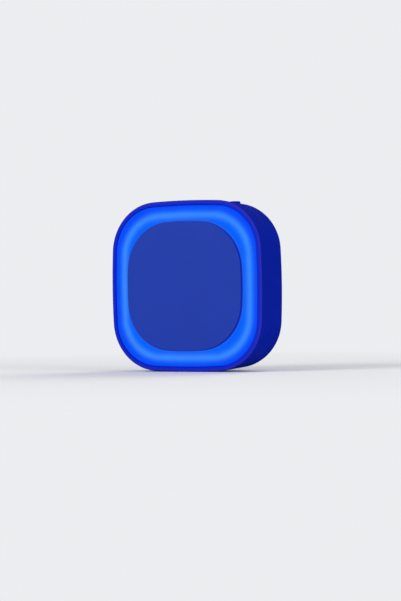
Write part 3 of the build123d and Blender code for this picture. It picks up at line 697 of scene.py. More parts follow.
def resistor_finish():
    """Lacquered barrel with three colour bands round it and plated caps at its ends."""
    middle, half = middle_and_half("fuse_resistor")
    f = Finish("resistor_lacquer", Specular_IOR_Level=0.5)
    height = f.split(f.vector("SUBTRACT", f.point, middle))["Z"]
    drips = f.noise(f.point, 0.8 * MM, detail=3.0)
    base = f.blend(drips, RESISTOR_BLUE, scaled(RESISTOR_BLUE, 0.75))
    band_core, band_edge = 0.28 * MM, 0.36 * MM  # from a band's middle
    for place, colour in ((-1.6 * MM, BAND_BROWN), (-0.5 * MM, BLACK), (0.9 * MM, BAND_GOLD)):
        band = f.fade(f.unsigned(f.minus(height, place)), band_core, band_edge)
        base = f.blend(band, base, colour)
    cap_start, cap_full = 0.3 * MM, 0.2 * MM  # from the barrel's end
    end = f.step(f.unsigned(height), half.z - cap_start, half.z - cap_full)
    f.set("Base Color", f.blend(end, base, TIN))
    f.set("Metallic", end)
    f.gloss(drips, 0.3, 0.45)
    f.bump(drips, 0.02 * MM)
    return f.material


def chip_finish():
    """Black moulding compound; what lies on the board's face is a plated leg."""
    f = Finish("chip_epoxy")
    off_board = f.minus(DRIVER_BOARD_FRONT, f.split(f.point)["Y"])
    leg_top, moulding_start = 0.3 * MM, 0.36 * MM
    leg = f.fade(off_board, leg_top, moulding_start)
    speckle = f.noise(f.point, 0.12 * MM, detail=3.0, roughness=0.7)
    epoxy = f.blend(speckle, EPOXY_BLACK, scaled(EPOXY_BLACK, 2.0))
    f.set("Base Color", f.blend(leg, epoxy, TIN))
    f.set("Metallic", leg)
    f.gloss(speckle, 0.45, 0.62)
    f.bump(speckle, 0.01 * MM)
    return f.material


def wire_finish(name, colour):
    """Extruded insulation with faint lines along the wire and a soft sheen."""
    f = Finish(name, Specular_IOR_Level=0.5)
    lines = f.use("drawn_metal", Point=f.point, Stretch=(1.0, 1.0, 0.08), Size=0.2 * MM)
    f.set("Base Color", f.blend(lines["Tarnish"], colour, scaled(colour, 0.78)))
    f.gloss(lines["Height"], 0.28, 0.4)
    f.bump(lines["Height"], 0.006 * MM)
    return f.material


def clear_finish(name, colour, roughness, cloud):
    """Clear moulded lens with faint flow marks."""
    f = Finish(name, Transmission_Weight=1.0, IOR=1.49, Specular_IOR_Level=0.5)
    flow = f.noise(f.point, 1.4 * MM)
    f.set("Base Color", f.blend(f.times(flow, cloud), colour, scaled(colour, 0.8)))
    f.gloss(flow, roughness, roughness + 0.05)
    f.bump(flow, 0.004 * MM)
    return f.material


def package_finish(name, colour, shade, size):
    """Pale reflector plastic, phosphor or ceramic with a fine speckle."""
    f = Finish(name, Specular_IOR_Level=0.4)
    speckle = f.noise(f.point, size, detail=3.0, roughness=0.6)
    f.set("Base Color", f.blend(f.step(speckle, 0.3, 0.7), colour, shade))
    f.gloss(speckle, 0.35, 0.5)
    f.bump(speckle, 0.006 * MM)
    return f.material


# ---- pieces ----


def give(node, material):
    """A carried-over CAD node takes a new finish."""
    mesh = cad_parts[node].data
    for index in range(len(mesh.materials)):
        mesh.materials[index] = material


def loop_mesh(name, points, depth):
    """Closed loop of edges on a plane parallel to the face."""
    places = [(across, depth, FACE_HEIGHT + up) for across, up in points]
    edges = [(index, (index + 1) % len(places)) for index in range(len(places))]
    mesh = bpy.data.meshes.new(name)
    mesh.from_pydata(places, edges, [])
    return mesh


def point_mesh(name, places):
    """Loose points, one for each place."""
    mesh = bpy.data.meshes.new(name)
    mesh.from_pydata(places, [], [])
    return mesh


def grown(name, mesh, group, values, replaced):
    """Runs a geometry tree on a mesh, keeps the result as a plain mesh and lets it stand for a CAD node."""
    piece = bpy.data.objects.new(name, mesh)
    bpy.context.scene.collection.objects.link(piece)
    modifier = piece.modifiers.new("shape", "NODES")
    modifier.node_group = bpy.data.node_groups[group]
    for item in modifier.node_group.interface.items_tree:
        if item.item_type == "SOCKET" and item.in_out == "INPUT" and item.name in values:
            modifier[item.identifier] = values[item.name]
    depsgraph = bpy.context.evaluated_depsgraph_get()
    shaped = bpy.data.meshes.new_from_object(piece.evaluated_get(depsgraph), depsgraph=depsgraph)
    piece.modifiers.remove(modifier)
    piece.data = shaped
    if not shaped.polygons:
        raise RuntimeError(f"{name} came out empty")
    shaped.shade_smooth()
    shaped.set_sharp_from_angle(angle=radians(35))
    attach(piece, BODY)
    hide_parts(replaced)


class Shaping(Wiring):
    """Adds the nodes that make and move shapes. Lengths are plain values or other nodes' outputs."""

    def cuboid(self, x, y, z):
        return self.add("GeometryNodeMeshCube", self.joined(x, y, z)).outputs[0]

    def cylinder(self, radius, height, sides, rings=1, cap_rings=1):
        node = self.add("GeometryNodeMeshCylinder", sides, rings, cap_rings, radius, height)
        return node.outputs["Mesh"]

    def cone(self, top_radius, base_radius, height, sides, **settings):
        node = self.add("GeometryNodeMeshCone", sides, 1, 1, top_radius, base_radius, height, **settings)
        return node.outputs["Mesh"]

    def moved(self, shape, offset=None, turn=None, scale=None):
        named = {"Translation": offset, "Rotation": turn, "Scale": scale}
        return self.add("GeometryNodeTransform", shape, named=named).outputs[0]

    def raised(self, shape, height):
        return self.moved(shape, self.along_z(height))

    def together(self, *shapes):
        node = self.tree.nodes.new("GeometryNodeJoinGeometry")
        for shape in shapes:
            self.tree.links.new(shape, node.inputs[0])
        return node.outputs[0]

    def painted(self, shape, material):
        return self.add("GeometryNodeSetMaterial", shape, named={"Material": material}).outputs[0]

    def cut(self, solid, *tools):
        node = self.add("GeometryNodeMeshBoolean", operation="DIFFERENCE", solver="EXACT")
        self.feed(node.inputs["Mesh 1"], solid)
        for tool in tools:
            self.feed(node.inputs["Mesh 2"], tool)
        return node.outputs["Mesh"]

    def placed(self, points, shape, material=None, **named):
        """The shape on every point, as real geometry with its material set."""
        named["Instance"] = shape
        row = self.add("GeometryNodeInstanceOnPoints", points, named=named).outputs[0]
        real = self.add("GeometryNodeRealizeInstances", row).outputs[0]
        return real if material is None else self.painted(real, material)


def new_shape(name, inputs):
    """A geometry tree with named sizes. Returns its wiring, its given values and its one result."""
    inputs = {"Geometry": (GEOMETRY, None), **inputs}
    w, given, results = new_group(name, GEOMETRY_TREE, inputs, {"Geometry": GEOMETRY})
    return Shaping(w.tree), given, results["Geometry"]


def make_screw_tree():
    """Pan-head screws on points: domed head with a cross recess, shank, rolled thread and a pointed end."""
    w, given, result = new_shape("threaded_screws", {
        "Head radius": (FLOAT, 2.2 * MM),
        "Head height": (FLOAT, 1.6 * MM),
        "Shank radius": (FLOAT, 1.25 * MM),
        "Shank length": (FLOAT, 8.2 * MM),
        "Thread pitch": (FLOAT, 0.8 * MM),
        "Thread depth": (FLOAT, 0.22 * MM),
        "Facing": (ROTATION, None),
        "Seed": (COUNT, 3),
        "Material": (MATERIAL, None),
    })
    head_radius, head_height = given["Head radius"], given["Head height"]
    shank_radius, shank_length = given["Shank radius"], given["Shank length"]
    thread_depth = given["Thread depth"]

    # Head: a cylinder whose top falls away towards its edge
    blank = w.cylinder(head_radius, head_height, sides=40, rings=4, cap_rings=8)
    spot = w.split(w.add("GeometryNodeInputPosition").outputs[0])
    out = w.over(w.length(spot["X"], spot["Y"]), head_radius)
    level = w.step(spot["Z"], w.times(head_height, -0.35), w.times(head_height, 0.5))
    drop = w.times(w.math("POWER", out, 3.5), w.times(head_height, -0.42))
    doming = {"Offset": w.along_z(w.times(drop, level))}
    domed = w.add("GeometryNodeSetPosition", blank, named=doming).outputs[0]
    head = w.raised(domed, w.over(head_height, 2.0))

    # Cross recess: two crossed wedges are cut out of the head
    deep = w.times(head_height, 0.62)
    bit = w.cone(1.0, 0.62, 1.0, sides=4, fill_type="NGON")
    bit = w.moved(bit, turn=(0.0, 0.0, pi / 4))
    long = w.times(head_radius, 0.8)
    thin = w.times(head_radius, 0.2)
    floor = w.along_z(w.minus(head_height, deep))
    wings = [
        w.moved(bit, floor, scale=w.joined(across, along, w.times(deep, 1.2)))
        for across, along in ((long, thin), (thin, long))
    ]
    head = w.cut(head, *wings)

    # Shank and point, which hang below the head
    core = w.minus(shank_radius, w.times(thread_depth, 0.8))
    point = w.times(shank_radius, 1.1)
    body_length = w.minus(shank_length, point)
    shank = w.cylinder(core, body_length, sides=28)
    shank = w.raised(shank, w.times(body_length, -0.5))
    tip = w.cone(core, w.times(core, 0.35), point, sides=28)
    tip = w.raised(tip, w.times(shank_length, -1.0))

    # Thread: a three-sided ridge along a helix, half sunk in the shank
    turns = w.over(body_length, given["Thread pitch"])
    ridge_line = w.minus(shank_radius, w.times(thread_depth, 0.9))
    helix = w.add("GeometryNodeCurveSpiral", 24, turns, ridge_line, ridge_line, body_length).outputs[0]
    ridge = w.add("GeometryNodeCurvePrimitiveCircle", 3, named={"Radius": thread_depth}).outputs[0]
    thread = w.add("GeometryNodeCurveToMesh", helix, ridge, named={"Fill Caps": True}).outputs[0]
    thread = w.raised(thread, w.times(body_length, -1.0))

    # Each screw is driven home at a turn of its own
    screw = w.together(head, shank, tip, thread)
    turn = w.add("FunctionNodeRandomValue", data_type="FLOAT", named={"Seed": given["Seed"]})
    w.feed(turn.inputs[3], pi / 2)
    spin = w.add("FunctionNodeEulerToRotation", w.along_z(turn.outputs[1])).outputs[0]
    facing = w.add("FunctionNodeRotateRotation", given["Facing"], spin, rotation_space="LOCAL").outputs[0]
    w.feed(result, w.placed(given["Geometry"], screw, given["Material"], Rotation=facing))


def make_lamp_tree():
    """Surface-mounted lamps set evenly along a closed line, each with its well, phosphor and two feet."""
    w, given, result = new_shape("lamp_row", {
        "Count": (COUNT, 24),
        "Length": (FLOAT, 3.5 * MM),
        "Width": (FLOAT, 2.8 * MM),
        "Height": (FLOAT, 1.9 * MM),
        "Well radius": (FLOAT, 1.15 * MM),
        "Well depth": (FLOAT, 0.5 * MM),
        "Package": (MATERIAL, None),
        "Phosphor": (MATERIAL, None),
        "Feet": (MATERIAL, None),
    })
    length, width, height = given["Length"], given["Width"], given["Height"]
    well_radius, well_depth = given["Well radius"], given["Well depth"]
    block = w.raised(w.cuboid(length, width, height), w.over(height, 2.0))
    narrow = w.times(well_radius, 0.78)
    floor = w.minus(height, well_depth)
    well = w.raised(w.cone(well_radius, narrow, well_depth, sides=32), floor)
    package = w.painted(w.cut(block, well), given["Package"])
    fill = w.times(well_depth, 0.45)
    phosphor = w.cylinder(narrow, fill, sides=32, cap_rings=3)
    phosphor = w.raised(phosphor, w.plus(floor, w.over(fill, 2.0)))
    phosphor = w.painted(phosphor, given["Phosphor"])
    foot_length, foot_height = 0.5 * MM, 0.35 * MM
    foot_inset, foot_lift = 0.24 * MM, 0.16 * MM  # of the foot's middle
    foot = w.cuboid(foot_length, w.times(width, 0.72), foot_height)
    reach = w.minus(w.over(length, 2.0), foot_inset)
    feet = [
        w.painted(w.moved(foot, w.joined(w.times(reach, side), 0.0, foot_lift)), given["Feet"])
        for side in (-1.0, 1.0)
    ]
    lamp = w.together(package, phosphor, *feet)

    path = w.add("GeometryNodeMeshToCurve", given["Geometry"]).outputs[0]
    doubled = {"Count": w.times(given["Count"], 2)}
    path = w.add("GeometryNodeResampleCurve", path, named=doubled).outputs[0]
    every_other = w.math("MODULO", w.add("GeometryNodeInputIndex").outputs[0], 2.0)
    tangent = w.add("GeometryNodeInputTangent").outputs[0]
    axes = {"primary_axis": "Z", "secondary_axis": "X"}
    facing = w.add("FunctionNodeAxesToRotation", (0.0, -1.0, 0.0), tangent, **axes).outputs[0]
    w.feed(result, w.placed(path, lamp, Selection=every_other, Rotation=facing))


def make_chip_tree():
    """Chip resistors on points: a pale ceramic block, a dark film on top and two plated ends."""
    w, given, result = new_shape("chip_row", {
        "Width": (FLOAT, 1.25 * MM),
        "Length": (FLOAT, 2.0 * MM),
        "Height": (FLOAT, 0.5 * MM),
        "Film": (MATERIAL, None),
        "Ceramic": (MATERIAL, None),
        "Ends": (MATERIAL, None),
    })
    width, length, height = given["Width"], given["Length"], given["Height"]
    lower = w.times(height, 0.8)
    inner = w.times(length, 0.62)
    block = w.cuboid(w.times(width, 0.96), lower, inner)
    block = w.moved(block, w.joined(0.0, w.times(lower, -0.5), 0.0))
    top = w.cuboid(w.times(width, 0.84), w.minus(height, lower), inner)
    top = w.moved(top, w.joined(0.0, w.times(w.plus(height, lower), -0.5), 0.0))
    cap_length = w.over(w.minus(length, inner), 2.0)
    cap = w.cuboid(width, height, cap_length)
    reach = w.over(w.plus(inner, cap_length), 2.0)
    middle = w.times(height, -0.5)
    caps = [
        w.painted(w.moved(cap, w.joined(0.0, middle, w.times(reach, side))), given["Ends"])
        for side in (-1.0, 1.0)
    ]
    chip = w.together(w.painted(block, given["Ceramic"]), w.painted(top, given["Film"]), *caps)
    w.feed(result, w.placed(given["Geometry"], chip))


def make_pin_tree():
    """Square header pins on points, each with a tapered tip at both ends."""
    w, given, result = new_shape("pin_row", {
        "Width": (FLOAT, 0.64 * MM),
        "Length": (FLOAT, 13.2 * MM),
        "Taper": (FLOAT, 0.7 * MM),
        "Material": (MATERIAL, None),
    })
    width, taper = given["Width"], given["Taper"]
    body = w.minus(given["Length"], w.times(taper, 2.0))
    bar = w.cuboid(width, width, body)
    corner = w.over(width, sqrt(2.0))
    tip = w.cone(w.times(corner, 0.45), corner, taper, sides=4, fill_type="NGON")
    tip = w.raised(w.moved(tip, turn=(0.0, 0.0, pi / 4)), w.over(body, 2.0))
    pin = w.together(bar, tip, w.moved(tip, turn=(pi, 0.0, 0.0)))
    pin = w.moved(pin, turn=(pi / 2, 0.0, 0.0))
    w.feed(result, w.placed(given["Geometry"], pin, given["Material"]))


def drive_screws(share, metal, node, places, depth, facing, **sizes):
    """Puts threaded screws in the place of a node. Their sizes are in millimetres."""
    values = {name.capitalize().replace("_", " "): size * MM for name, size in sizes.items()}
    values["Thread pitch"] = share.thread_pitch
    values["Thread depth"] = share.thread_depth
    values["Facing"] = facing
    values["Seed"] = share.seed
    values["Material"] = metal
    points = [(across, depth, FACE_HEIGHT + up) for across, up in places]
    mesh = point_mesh(f"{node}_places", points)
    grown(f"{node}_threaded", mesh, "threaded_screws", values, node)


# ---- settings ----


def length_setting(name, description, millimetres):
    """A length given in millimetres and kept in metres."""
    return bpy.props.FloatProperty(
        name=name, description=description, default=millimetres * MM, subtype="DISTANCE", unit="LENGTH"
    )


def angle_setting(name, description, degrees):
    """An angle given in degrees and kept in radians."""
    return bpy.props.FloatProperty(
        name=name, description=description, default=radians(degrees), subtype="ANGLE", unit="ROTATION"
    )


def colour_setting(name, description, colour):
    return bpy.props.FloatVectorProperty(
        name=name, description=description, default=colour, size=4, min=0, max=1, subtype="COLOR"
    )


class NightLightLook(bpy.types.PropertyGroup):
    """Colours and glow of the outer shell. Its plastic colours are the ring's blue light painted onto the
    plastic, and several add painted light and shade on top of that.
    """

    panel_colour: colour_setting("Panel", "Colour of the plain middle panel", seen(34, 61, 166))
    # Painted shade on the panel's low side wall
    painted_panel_wall_shade: colour_setting("Panel wall", "Colour of the panel's low side wall", seen(19, 44, 164))
    # Painted light: the housing's plastic as its lit front face shows it
    lit_rim_colour: colour_setting("Rim", "Colour of the narrow rim round the ring", seen(34, 44, 182))
    # Painted highlight along the rim's rounded outer edge
    painted_rim_highlight: colour_setting("Rim edge", "Colour of the rim's outermost line", seen(54, 58, 186))
    # Painted light from the ring, spilled onto the rim beside it
    painted_spill_colour: colour_setting("Rim glow", "Colour of the rim right beside the ring", seen(10, 38, 203))
    # Painted shade: the rim's plastic in the darker tone its sides take in shade
    shaded_housing_colour: colour_setting("Housing", "Colour of the side walls and the rear", seen(7, 30, 155))
    ring_colour: colour_setting("Diffuser", "Colour of the ring's own plastic", seen(2, 26, 85))
    core_glow: colour_setting("Glow line", "Colour of the bright line over the lamps", seen(54, 135, 255))
    outer_glow: colour_setting("Outer glow", "Glow between the line and the rim", seen(4, 77, 248))
    inner_glow: colour_setting("Inner glow", "Glow between the line and the panel", seen(2, 98, 254))
    # Painted shade in the gap between the ring and the rim
    painted_gap_shade: colour_setting("Edge glow", "Glow at the ring's outer edge", seen(12, 50, 205))
    # Painted shade, with a purplish tint, where the ring meets the panel's wall
    painted_foot_shade: colour_setting("Foot glow", "Glow along the panel's foot", seen(46, 94, 232))
    core_width: length_setting("Line width", "How far the glow line spreads to either side", 1.5)
    core_offset: bpy.props.FloatVectorProperty(
        name="Line offset",
        description="How far the glow line sits off the ring's middle, across and up",
        size=2,
        default=(0.5 * MM, -0.14 * MM),
        subtype="XYZ",
        unit="LENGTH",
    )


class NightLightFasteners(bpy.types.PropertyGroup):
    """Thread, plating and seed that the screws share."""

    thread_pitch: length_setting("Thread pitch", "From one turn of the thread to the next", 0.8)
    thread_depth: length_setting("Thread depth", "Height of the thread's ridge", 0.22)
    zinc: colour_setting("Plating", "Colour of the plated steel", tint(0.60, 0.61, 0.63))
    tarnish: colour_setting("Tarnish", "Tint of the duller patches", tint(0.47, 0.46, 0.42))
    seed: bpy.props.IntProperty(name="Seed", description="Sets how far each screw is turned", default=3)


class NightLightBoards(bpy.types.PropertyGroup):
    """What sits on the two boards."""

    lamp_count: bpy.props.IntProperty(
        name="Lamps", description="Lamps round the ring", default=24, min=4, max=60
    )
    lamp_colour: colour_setting("Phosphor", "Colour of the lamps' unlit phosphor", tint(0.78, 0.62, 0.12))
    mask_colour: colour_setting("Solder mask", "Colour of the driver board", tint(0.012, 0.14, 0.045))
    pale_mask: colour_setting("Pale mask", "Colour of the light board", tint(0.74, 0.75, 0.73))


class NightLightStage(bpy.types.PropertyGroup):
    """Camera, floor and backdrop."""

    yaw: angle_setting("Yaw", "Camera's turn to the right", 28.82)
    elevation: angle_setting("Elevation", "Camera's height angle", 0.06)
    roll: angle_setting("Roll", "Camera's lean", -0.737)
    distance: length_setting("Distance", "From the camera to the middle of the face", 828.2)
    right: length_setting("Right", "How far the view's middle lies right of the face's", 5.66)
    up: length_setting("Up", "How far the view's middle lies above the face's", -5.44)
    lens: bpy.props.FloatProperty(
        name="Lens", description="Focal length in millimetres", default=131.5, unit="CAMERA"
    )
    floor_colour: colour_setting("Floor", "Colour of the pale floor", tint(0.93, 0.93, 0.94))
    backdrop: colour_setting("Backdrop", "Colour behind the light", tint(0.84, 0.85, 0.87))


SETTINGS = {
    "night_light_look": NightLightLook,
    "night_light_fasteners": NightLightFasteners,
    "night_light_boards": NightLightBoards,
    "night_light_stage": NightLightStage,
}


# ---- operators ----


class NIGHTLIGHT_OT_effects(bpy.types.Operator):
    """Make the shared surface effects and the geometry trees"""

    bl_idname = "nightlight.effects"
    bl_label = "Effects and Trees"

    def execute(self, context):
        make_outline_distance()
        make_moulded_grain()
        make_edge_wear()
        make_settled_dust()
        make_drawn_metal()
        make_copper_layer()
        make_printed_frame()
        make_screw_tree()
        make_lamp_tree()
        make_chip_tree()
        make_pin_tree()
        return {"FINISHED"}


class NIGHTLIGHT_OT_face(bpy.types.Operator):
    """Finish the panel, the glowing ring and the rim"""

    bl_idname = "nightlight.face"
    bl_label = "Face"

    def execute(self, context):
        look = context.scene.night_light_look
        give("front_panel", panel_finish(look))
        give("light_ring", ring_finish(look))
        give("front_frame", frame_finish(look))
        return {"FINISHED"}


class NIGHTLIGHT_OT_housing(bpy.types.Operator):
    """Finish the rear housing"""

    bl_idname = "nightlight.housing"
    bl_label = "Rear Housing"

    def execute(self, context):
        give("rear_housing", housing_finish(context.scene.night_light_look))
        return {"FINISHED"}


class NIGHTLIGHT_OT_plug(bpy.types.Operator):
    """Finish the two blades and the clamp that holds them"""

    bl_idname = "nightlight.plug"
    bl_label = "Plug"

    def execute(self, context):
        brass = metal_finish(
            "blade_brass", BLADE_METAL, BLADE_TARNISH, roughness=0.37, relief=0.0005 * MM, spread=0.03
        )
        give("line_blade", brass)
        give("neutral_blade", brass)
        give("blade_clamp", dark_moulding("clamp_plastic", CLAMP_GREY, roughness=0.5))
        return {"FINISHED"}


class NIGHTLIGHT_OT_screws(bpy.types.Operator):
    """Make the threaded screws of the housing, the boards and the clamp"""

    bl_idname = "nightlight.screws"
    bl_label = "Screws"

    def execute(self, context):
        share = context.scene.night_light_fasteners
        undrawn = (1.0, 1.0, 1.0)
        zinc = metal_finish(
            "zinc_steel", share.zinc, share.tarnish, roughness=0.34, relief=0.002 * MM, Stretch=undrawn
        )
        drive_screws(
            share, zinc, "housing_screws", HOUSING_SCREWS, SCREW_SHELF, TO_REAR,
            head_radius=2.2, head_height=1.6, shank_radius=1.25, shank_length=8.2,
        )
        drive_screws(
            share, zinc, "led_board_screws", LED_BOARD_SCREWS, LED_BOARD_BACK, TO_REAR,
            head_radius=1.7, head_height=1.2, shank_radius=0.75, shank_length=4.4,
        )
        drive_screws(
            share, zinc, "driver_board_screws", DRIVER_BOARD_SCREWS, DRIVER_BOARD_FRONT, TO_FRONT,
            head_radius=1.8, head_height=1.2, shank_radius=0.75, shank_length=3.0,
        )
        drive_screws(
            share, zinc, "clamp_screws", CLAMP_SCREWS, CLAMP_FRONT, TO_FRONT,
            head_radius=2.0, head_height=1.4, shank_radius=0.9, shank_length=5.2,
        )
        return {"FINISHED"}


class NIGHTLIGHT_OT_light_board(bpy.types.Operator):
    """Finish the light board and set its lamps round the ring"""

    bl_idname = "nightlight.light_board"
    bl_label = "Light Board"

    def execute(self, context):
        boards = context.scene.night_light_boards
        mask = boards.pale_mask
        copper = scaled(mask, 0.9)
        outlined = ("header_block",)
        give("led_board", board_finish("led_board_mask", mask, copper, PALE_LAMINATE, DARK_INK, outlined))
        values = {
            "Count": boards.lamp_count,
            "Package": package_finish("led_package", LAMP_PACKAGE, LAMP_PACKAGE_SHADE, size=0.3 * MM),
            "Phosphor": package_finish("led_phosphor", boards.lamp_colour, PHOSPHOR_SHADE, size=0.1 * MM),
            "Feet": metal_finish("led_feet", FOOT_METAL, DULL_FOOT, roughness=0.35),
        }
        loop = loop_mesh("lamp_line", RING.points(-LAMP_INSET, LAMP_LINE_STEPS), LED_BOARD_FRONT)
        grown("led_packages", loop, "lamp_row", values, "leds")
        return {"FINISHED"}


class NIGHTLIGHT_OT_driver_board(bpy.types.Operator):
    """Finish the driver board and its components"""

    bl_idname = "nightlight.driver_board"
    bl_label = "Driver Board"

    def execute(self, context):
        mask = context.scene.night_light_boards.mask_colour
        copper = scaled(mask, 1.7)
        outlined = (
            "film_capacitor",
            "electrolytic_capacitor",
            "fuse_resistor",
            "surge_varistor",
            "bridge_rectifier",
            "controller_chip",
            "header_block",
            "switch_body",
            "light_sensor",
        )
        give("driver_board", board_finish("driver_board_mask", mask, copper, LAMINATE, PALE_INK, outlined))
        case = lacquer_finish("capacitor_case", CAPACITOR_AMBER, roughness=0.32, relief=0.006 * MM)
        give("film_capacitor", case)
        give("electrolytic_capacitor", sleeve_finish())
        give("fuse_resistor", resistor_finish())
        coat = lacquer_finish("varistor_coat", VARISTOR_BLUE, roughness=0.3, relief=0.03 * MM)
        give("surge_varistor", coat)
        epoxy = chip_finish()
        for node in ("bridge_rectifier", "controller_chip", "driver_transistors"):
            give(node, epoxy)
        values = {
            "Film": package_finish("resistor_film", FILM_BLACK, FILM_SHADE, size=0.1 * MM),
            "Ceramic": package_finish("resistor_ceramic", CERAMIC, CERAMIC_SHADE, size=0.2 * MM),
            "Ends": metal_finish("resistor_ends", TIN, DULL_TIN, roughness=0.4),
        }
        row = [FIRST_CHIP + CHIP_PITCH * number for number in range(CHIP_COUNT)]
        places = [(across, DRIVER_BOARD_FRONT, FACE_HEIGHT + CHIP_HEIGHT) for across in row]
        mesh = point_mesh("chip_places", places)
        grown("chip_resistors_plated", mesh, "chip_row", values, "chip_resistors")
        return {"FINISHED"}


class NIGHTLIGHT_OT_wiring(bpy.types.Operator):
    """Finish the header, its pins and the two mains leads"""

    bl_idname = "nightlight.wiring"
    bl_label = "Wiring"

    def execute(self, context):
        give("header_block", dark_moulding("header_plastic", HEADER_BLACK, roughness=0.42))
        middle, half = middle_and_half("header_pins")
        first = -PIN_PITCH * (PIN_COUNT - 1) / 2
        places = [(first + PIN_PITCH * number, middle.y, middle.z) for number in range(PIN_COUNT)]
        gold = metal_finish("pin_gold", GOLD, DULL_GOLD, roughness=0.26)
        values = {"Length": 2 * half.y, "Material": gold}
        mesh = point_mesh("pin_places", places)
        grown("header_pins_tapered", mesh, "pin_row", values, "header_pins")
        give("line_lead", wire_finish("line_insulation", LINE_BLACK))
        give("neutral_lead", wire_finish("neutral_insulation", NEUTRAL_WHITE))
        return {"FINISHED"}


class NIGHTLIGHT_OT_sensor(bpy.types.Operator):
    """Finish the dusk sensor and its window"""

    bl_idname = "nightlight.sensor"
    bl_label = "Dusk Sensor"

    def execute(self, context):
        give("sensor_window", clear_finish("window_clear", WINDOW_TINT, roughness=0.06, cloud=0.6))
        give("light_sensor", clear_finish("sensor_epoxy", SENSOR_TINT, roughness=0.12, cloud=0.4))
        return {"FINISHED"}


class NIGHTLIGHT_OT_button(bpy.types.Operator):
    """Finish the push button and the switch under it"""

    bl_idname = "nightlight.button"
    bl_label = "Mode Button"

    def execute(self, context):
        give("mode_button", button_finish(context.scene.night_light_look))
        nylon = dark_moulding("switch_plastic", SWITCH_BLACK, roughness=0.45)
        give("switch_plunger", nylon)
        give("switch_body", nylon)
        return {"FINISHED"}


# ---- stage, in metres ----

LIGHT_WIDTH = 0.9
KEY_LIGHT = {"place": (-0.7, -1.3, 0.75), "watts": 13.0}
FILL_LIGHT = {"place": (1.2, -0.4, 0.4), "watts": 5.5}
BACK_LIGHT = {"place": (0.3, 1.0, 1.0), "watts": 6.0}
AMBIENT = tint(0.38, 0.385, 0.395)  # the world's light on the object

FLOOR_RADIUS = 3.0
FLOOR_SIDES = 96
SHADOW_FADE = (0.09, 0.32)  # from the origin: where the shadow starts to fade, and where it is gone
NEAREST_SEEN = 0.01  # from the camera


def aim_light(name, target, place, watts):
    """Round studio light, turned to the target."""
    data = bpy.data.lights.new(name, "AREA")
    data.shape = "DISK"
    data.size = LIGHT_WIDTH
    data.energy = watts
    lamp = bpy.data.objects.new(name, data)
    lamp.location = place
    lamp.rotation_euler = (Vector(place) - target).to_track_quat("Z", "Y").to_euler()
    bpy.context.scene.collection.objects.link(lamp)


def floor_finish(stage):
    """Pale floor that keeps the light's shadow near it and turns to the backdrop further off."""
    f = Finish("floor_paper", Roughness=0.9, Specular_IOR_Level=0.1)
    place = f.split(f.point)
    away = f.length(place["X"], place["Y"])
    fibre = f.noise(f.point, 1.5 * MM, detail=4.0, roughness=0.6)
    shade = scaled(stage.floor_colour, 0.985)
    f.set("Base Color", f.blend(f.step(fibre, 0.3, 0.7), stage.floor_colour, shade))
    f.bump(fibre, 0.01 * MM)
    paper = f.add("ShaderNodeEmission", tuple(stage.backdrop), 1.0).outputs[0]
    far = f.step(away, *SHADOW_FADE)
    share = f.times(far, f.looked_at())
    mixed = f.add("ShaderNodeMixShader", share, f.shader.outputs[0], paper).outputs[0]
    f.feed(f.output.inputs["Surface"], mixed)
    return f.material


def pale_world(stage):
    """Soft light from all round; what the camera, metal and glass see of it is the pale backdrop."""
    world = bpy.data.worlds.new("studio")
    world.use_nodes = True
    bpy.context.scene.world = world
    w = Wiring(world.node_tree)
    w.tree.nodes.clear()
    colour = w.blend(w.looked_at(), AMBIENT, tuple(stage.backdrop))
    sky = w.add("ShaderNodeBackground", colour, 1.0).outputs[0]
    w.add("ShaderNodeOutputWorld", sky)


def place_camera(stage, target):
    """Camera that looks along its yaw and elevation, shifted so that the target sits off the middle."""
    level = cos(stage.elevation)
    back = Vector((sin(stage.yaw) * level, -cos(stage.yaw) * level, sin(stage.elevation)))
    right = Vector((cos(stage.yaw), sin(stage.yaw), 0.0))
    up = back.cross(right)
    leaned = right * cos(stage.roll) + up * sin(stage.roll)
    upright = up * cos(stage.roll) - right * sin(stage.roll)
    data = bpy.data.cameras.new("camera")
    data.lens = stage.lens
    data.clip_start = NEAREST_SEEN
    camera = bpy.data.objects.new("camera", data)
    turn = Matrix((leaned, upright, back)).transposed()
    place = target + leaned * stage.right + upright * stage.up + back * stage.distance
    camera.matrix_world = Matrix.Translation(place) @ turn.to_4x4()
    bpy.context.scene.collection.objects.link(camera)
    bpy.context.scene.camera = camera


def lay_floor(stage):
    """Round floor at the light's lowest point."""
    mesh = bpy.data.meshes.new("floor")
    shape = bmesh.new()
    bmesh.ops.create_circle(shape, cap_ends=True, segments=FLOOR_SIDES, radius=FLOOR_RADIUS)
    for vertex in shape.verts:
        vertex.co.z = CAD_BOX[0].z
    shape.to_mesh(mesh)
    shape.free()
    floor = bpy.data.objects.new("floor", mesh)
    mesh.materials.append(floor_finish(stage))
    bpy.context.scene.collection.objects.link(floor)


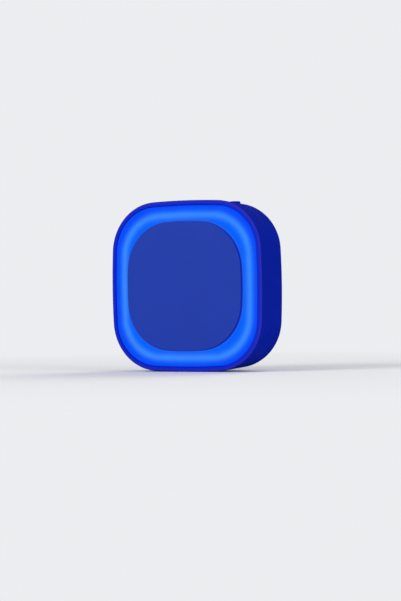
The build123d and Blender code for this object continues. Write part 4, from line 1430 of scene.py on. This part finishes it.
class NIGHTLIGHT_OT_stage(bpy.types.Operator):
    """Place the camera, the studio lights, the floor and the backdrop"""

    bl_idname = "nightlight.stage"
    bl_label = "Stage"

    def execute(self, context):
        stage = context.scene.night_light_stage
        context.scene.view_settings.view_transform = "Standard"
        face = Vector((0.0, FACE_PLANE, FACE_HEIGHT))
        place_camera(stage, face)
        pale_world(stage)
        aim_light("key", face, **KEY_LIGHT)
        aim_light("fill", face, **FILL_LIGHT)
        aim_light("back", face, **BACK_LIGHT)
        lay_floor(stage)
        return {"FINISHED"}


STEPS = (
    NIGHTLIGHT_OT_effects,
    NIGHTLIGHT_OT_face,
    NIGHTLIGHT_OT_housing,
    NIGHTLIGHT_OT_plug,
    NIGHTLIGHT_OT_screws,
    NIGHTLIGHT_OT_light_board,
    NIGHTLIGHT_OT_driver_board,
    NIGHTLIGHT_OT_wiring,
    NIGHTLIGHT_OT_sensor,
    NIGHTLIGHT_OT_button,
    NIGHTLIGHT_OT_stage,
)


class NIGHTLIGHT_PT_panel(bpy.types.Panel):
    """Lists the steps and their settings"""

    bl_idname = "NIGHTLIGHT_PT_panel"
    bl_label = "Night Light"
    bl_space_type = "VIEW_3D"
    bl_region_type = "UI"
    bl_category = "Night Light"

    def draw(self, context):
        for step in STEPS:
            self.layout.operator(step.bl_idname)
        for name, kind in SETTINGS.items():
            box = self.layout.box()
            for label in kind.__annotations__:
                box.prop(getattr(context.scene, name), label)


def register():
    for kind in (*SETTINGS.values(), *STEPS, NIGHTLIGHT_PT_panel):
        bpy.utils.register_class(kind)
    for name, kind in SETTINGS.items():
        setattr(bpy.types.Scene, name, bpy.props.PointerProperty(type=kind))


def unregister():
    for name in SETTINGS:
        delattr(bpy.types.Scene, name)
    for kind in reversed((*SETTINGS.values(), *STEPS, NIGHTLIGHT_PT_panel)):
        bpy.utils.unregister_class(kind)


def main():
    register()
    for step in STEPS:
        group, name = step.bl_idname.split(".")
        getattr(getattr(bpy.ops, group), name)()


if __name__ == "__main__":
    main()
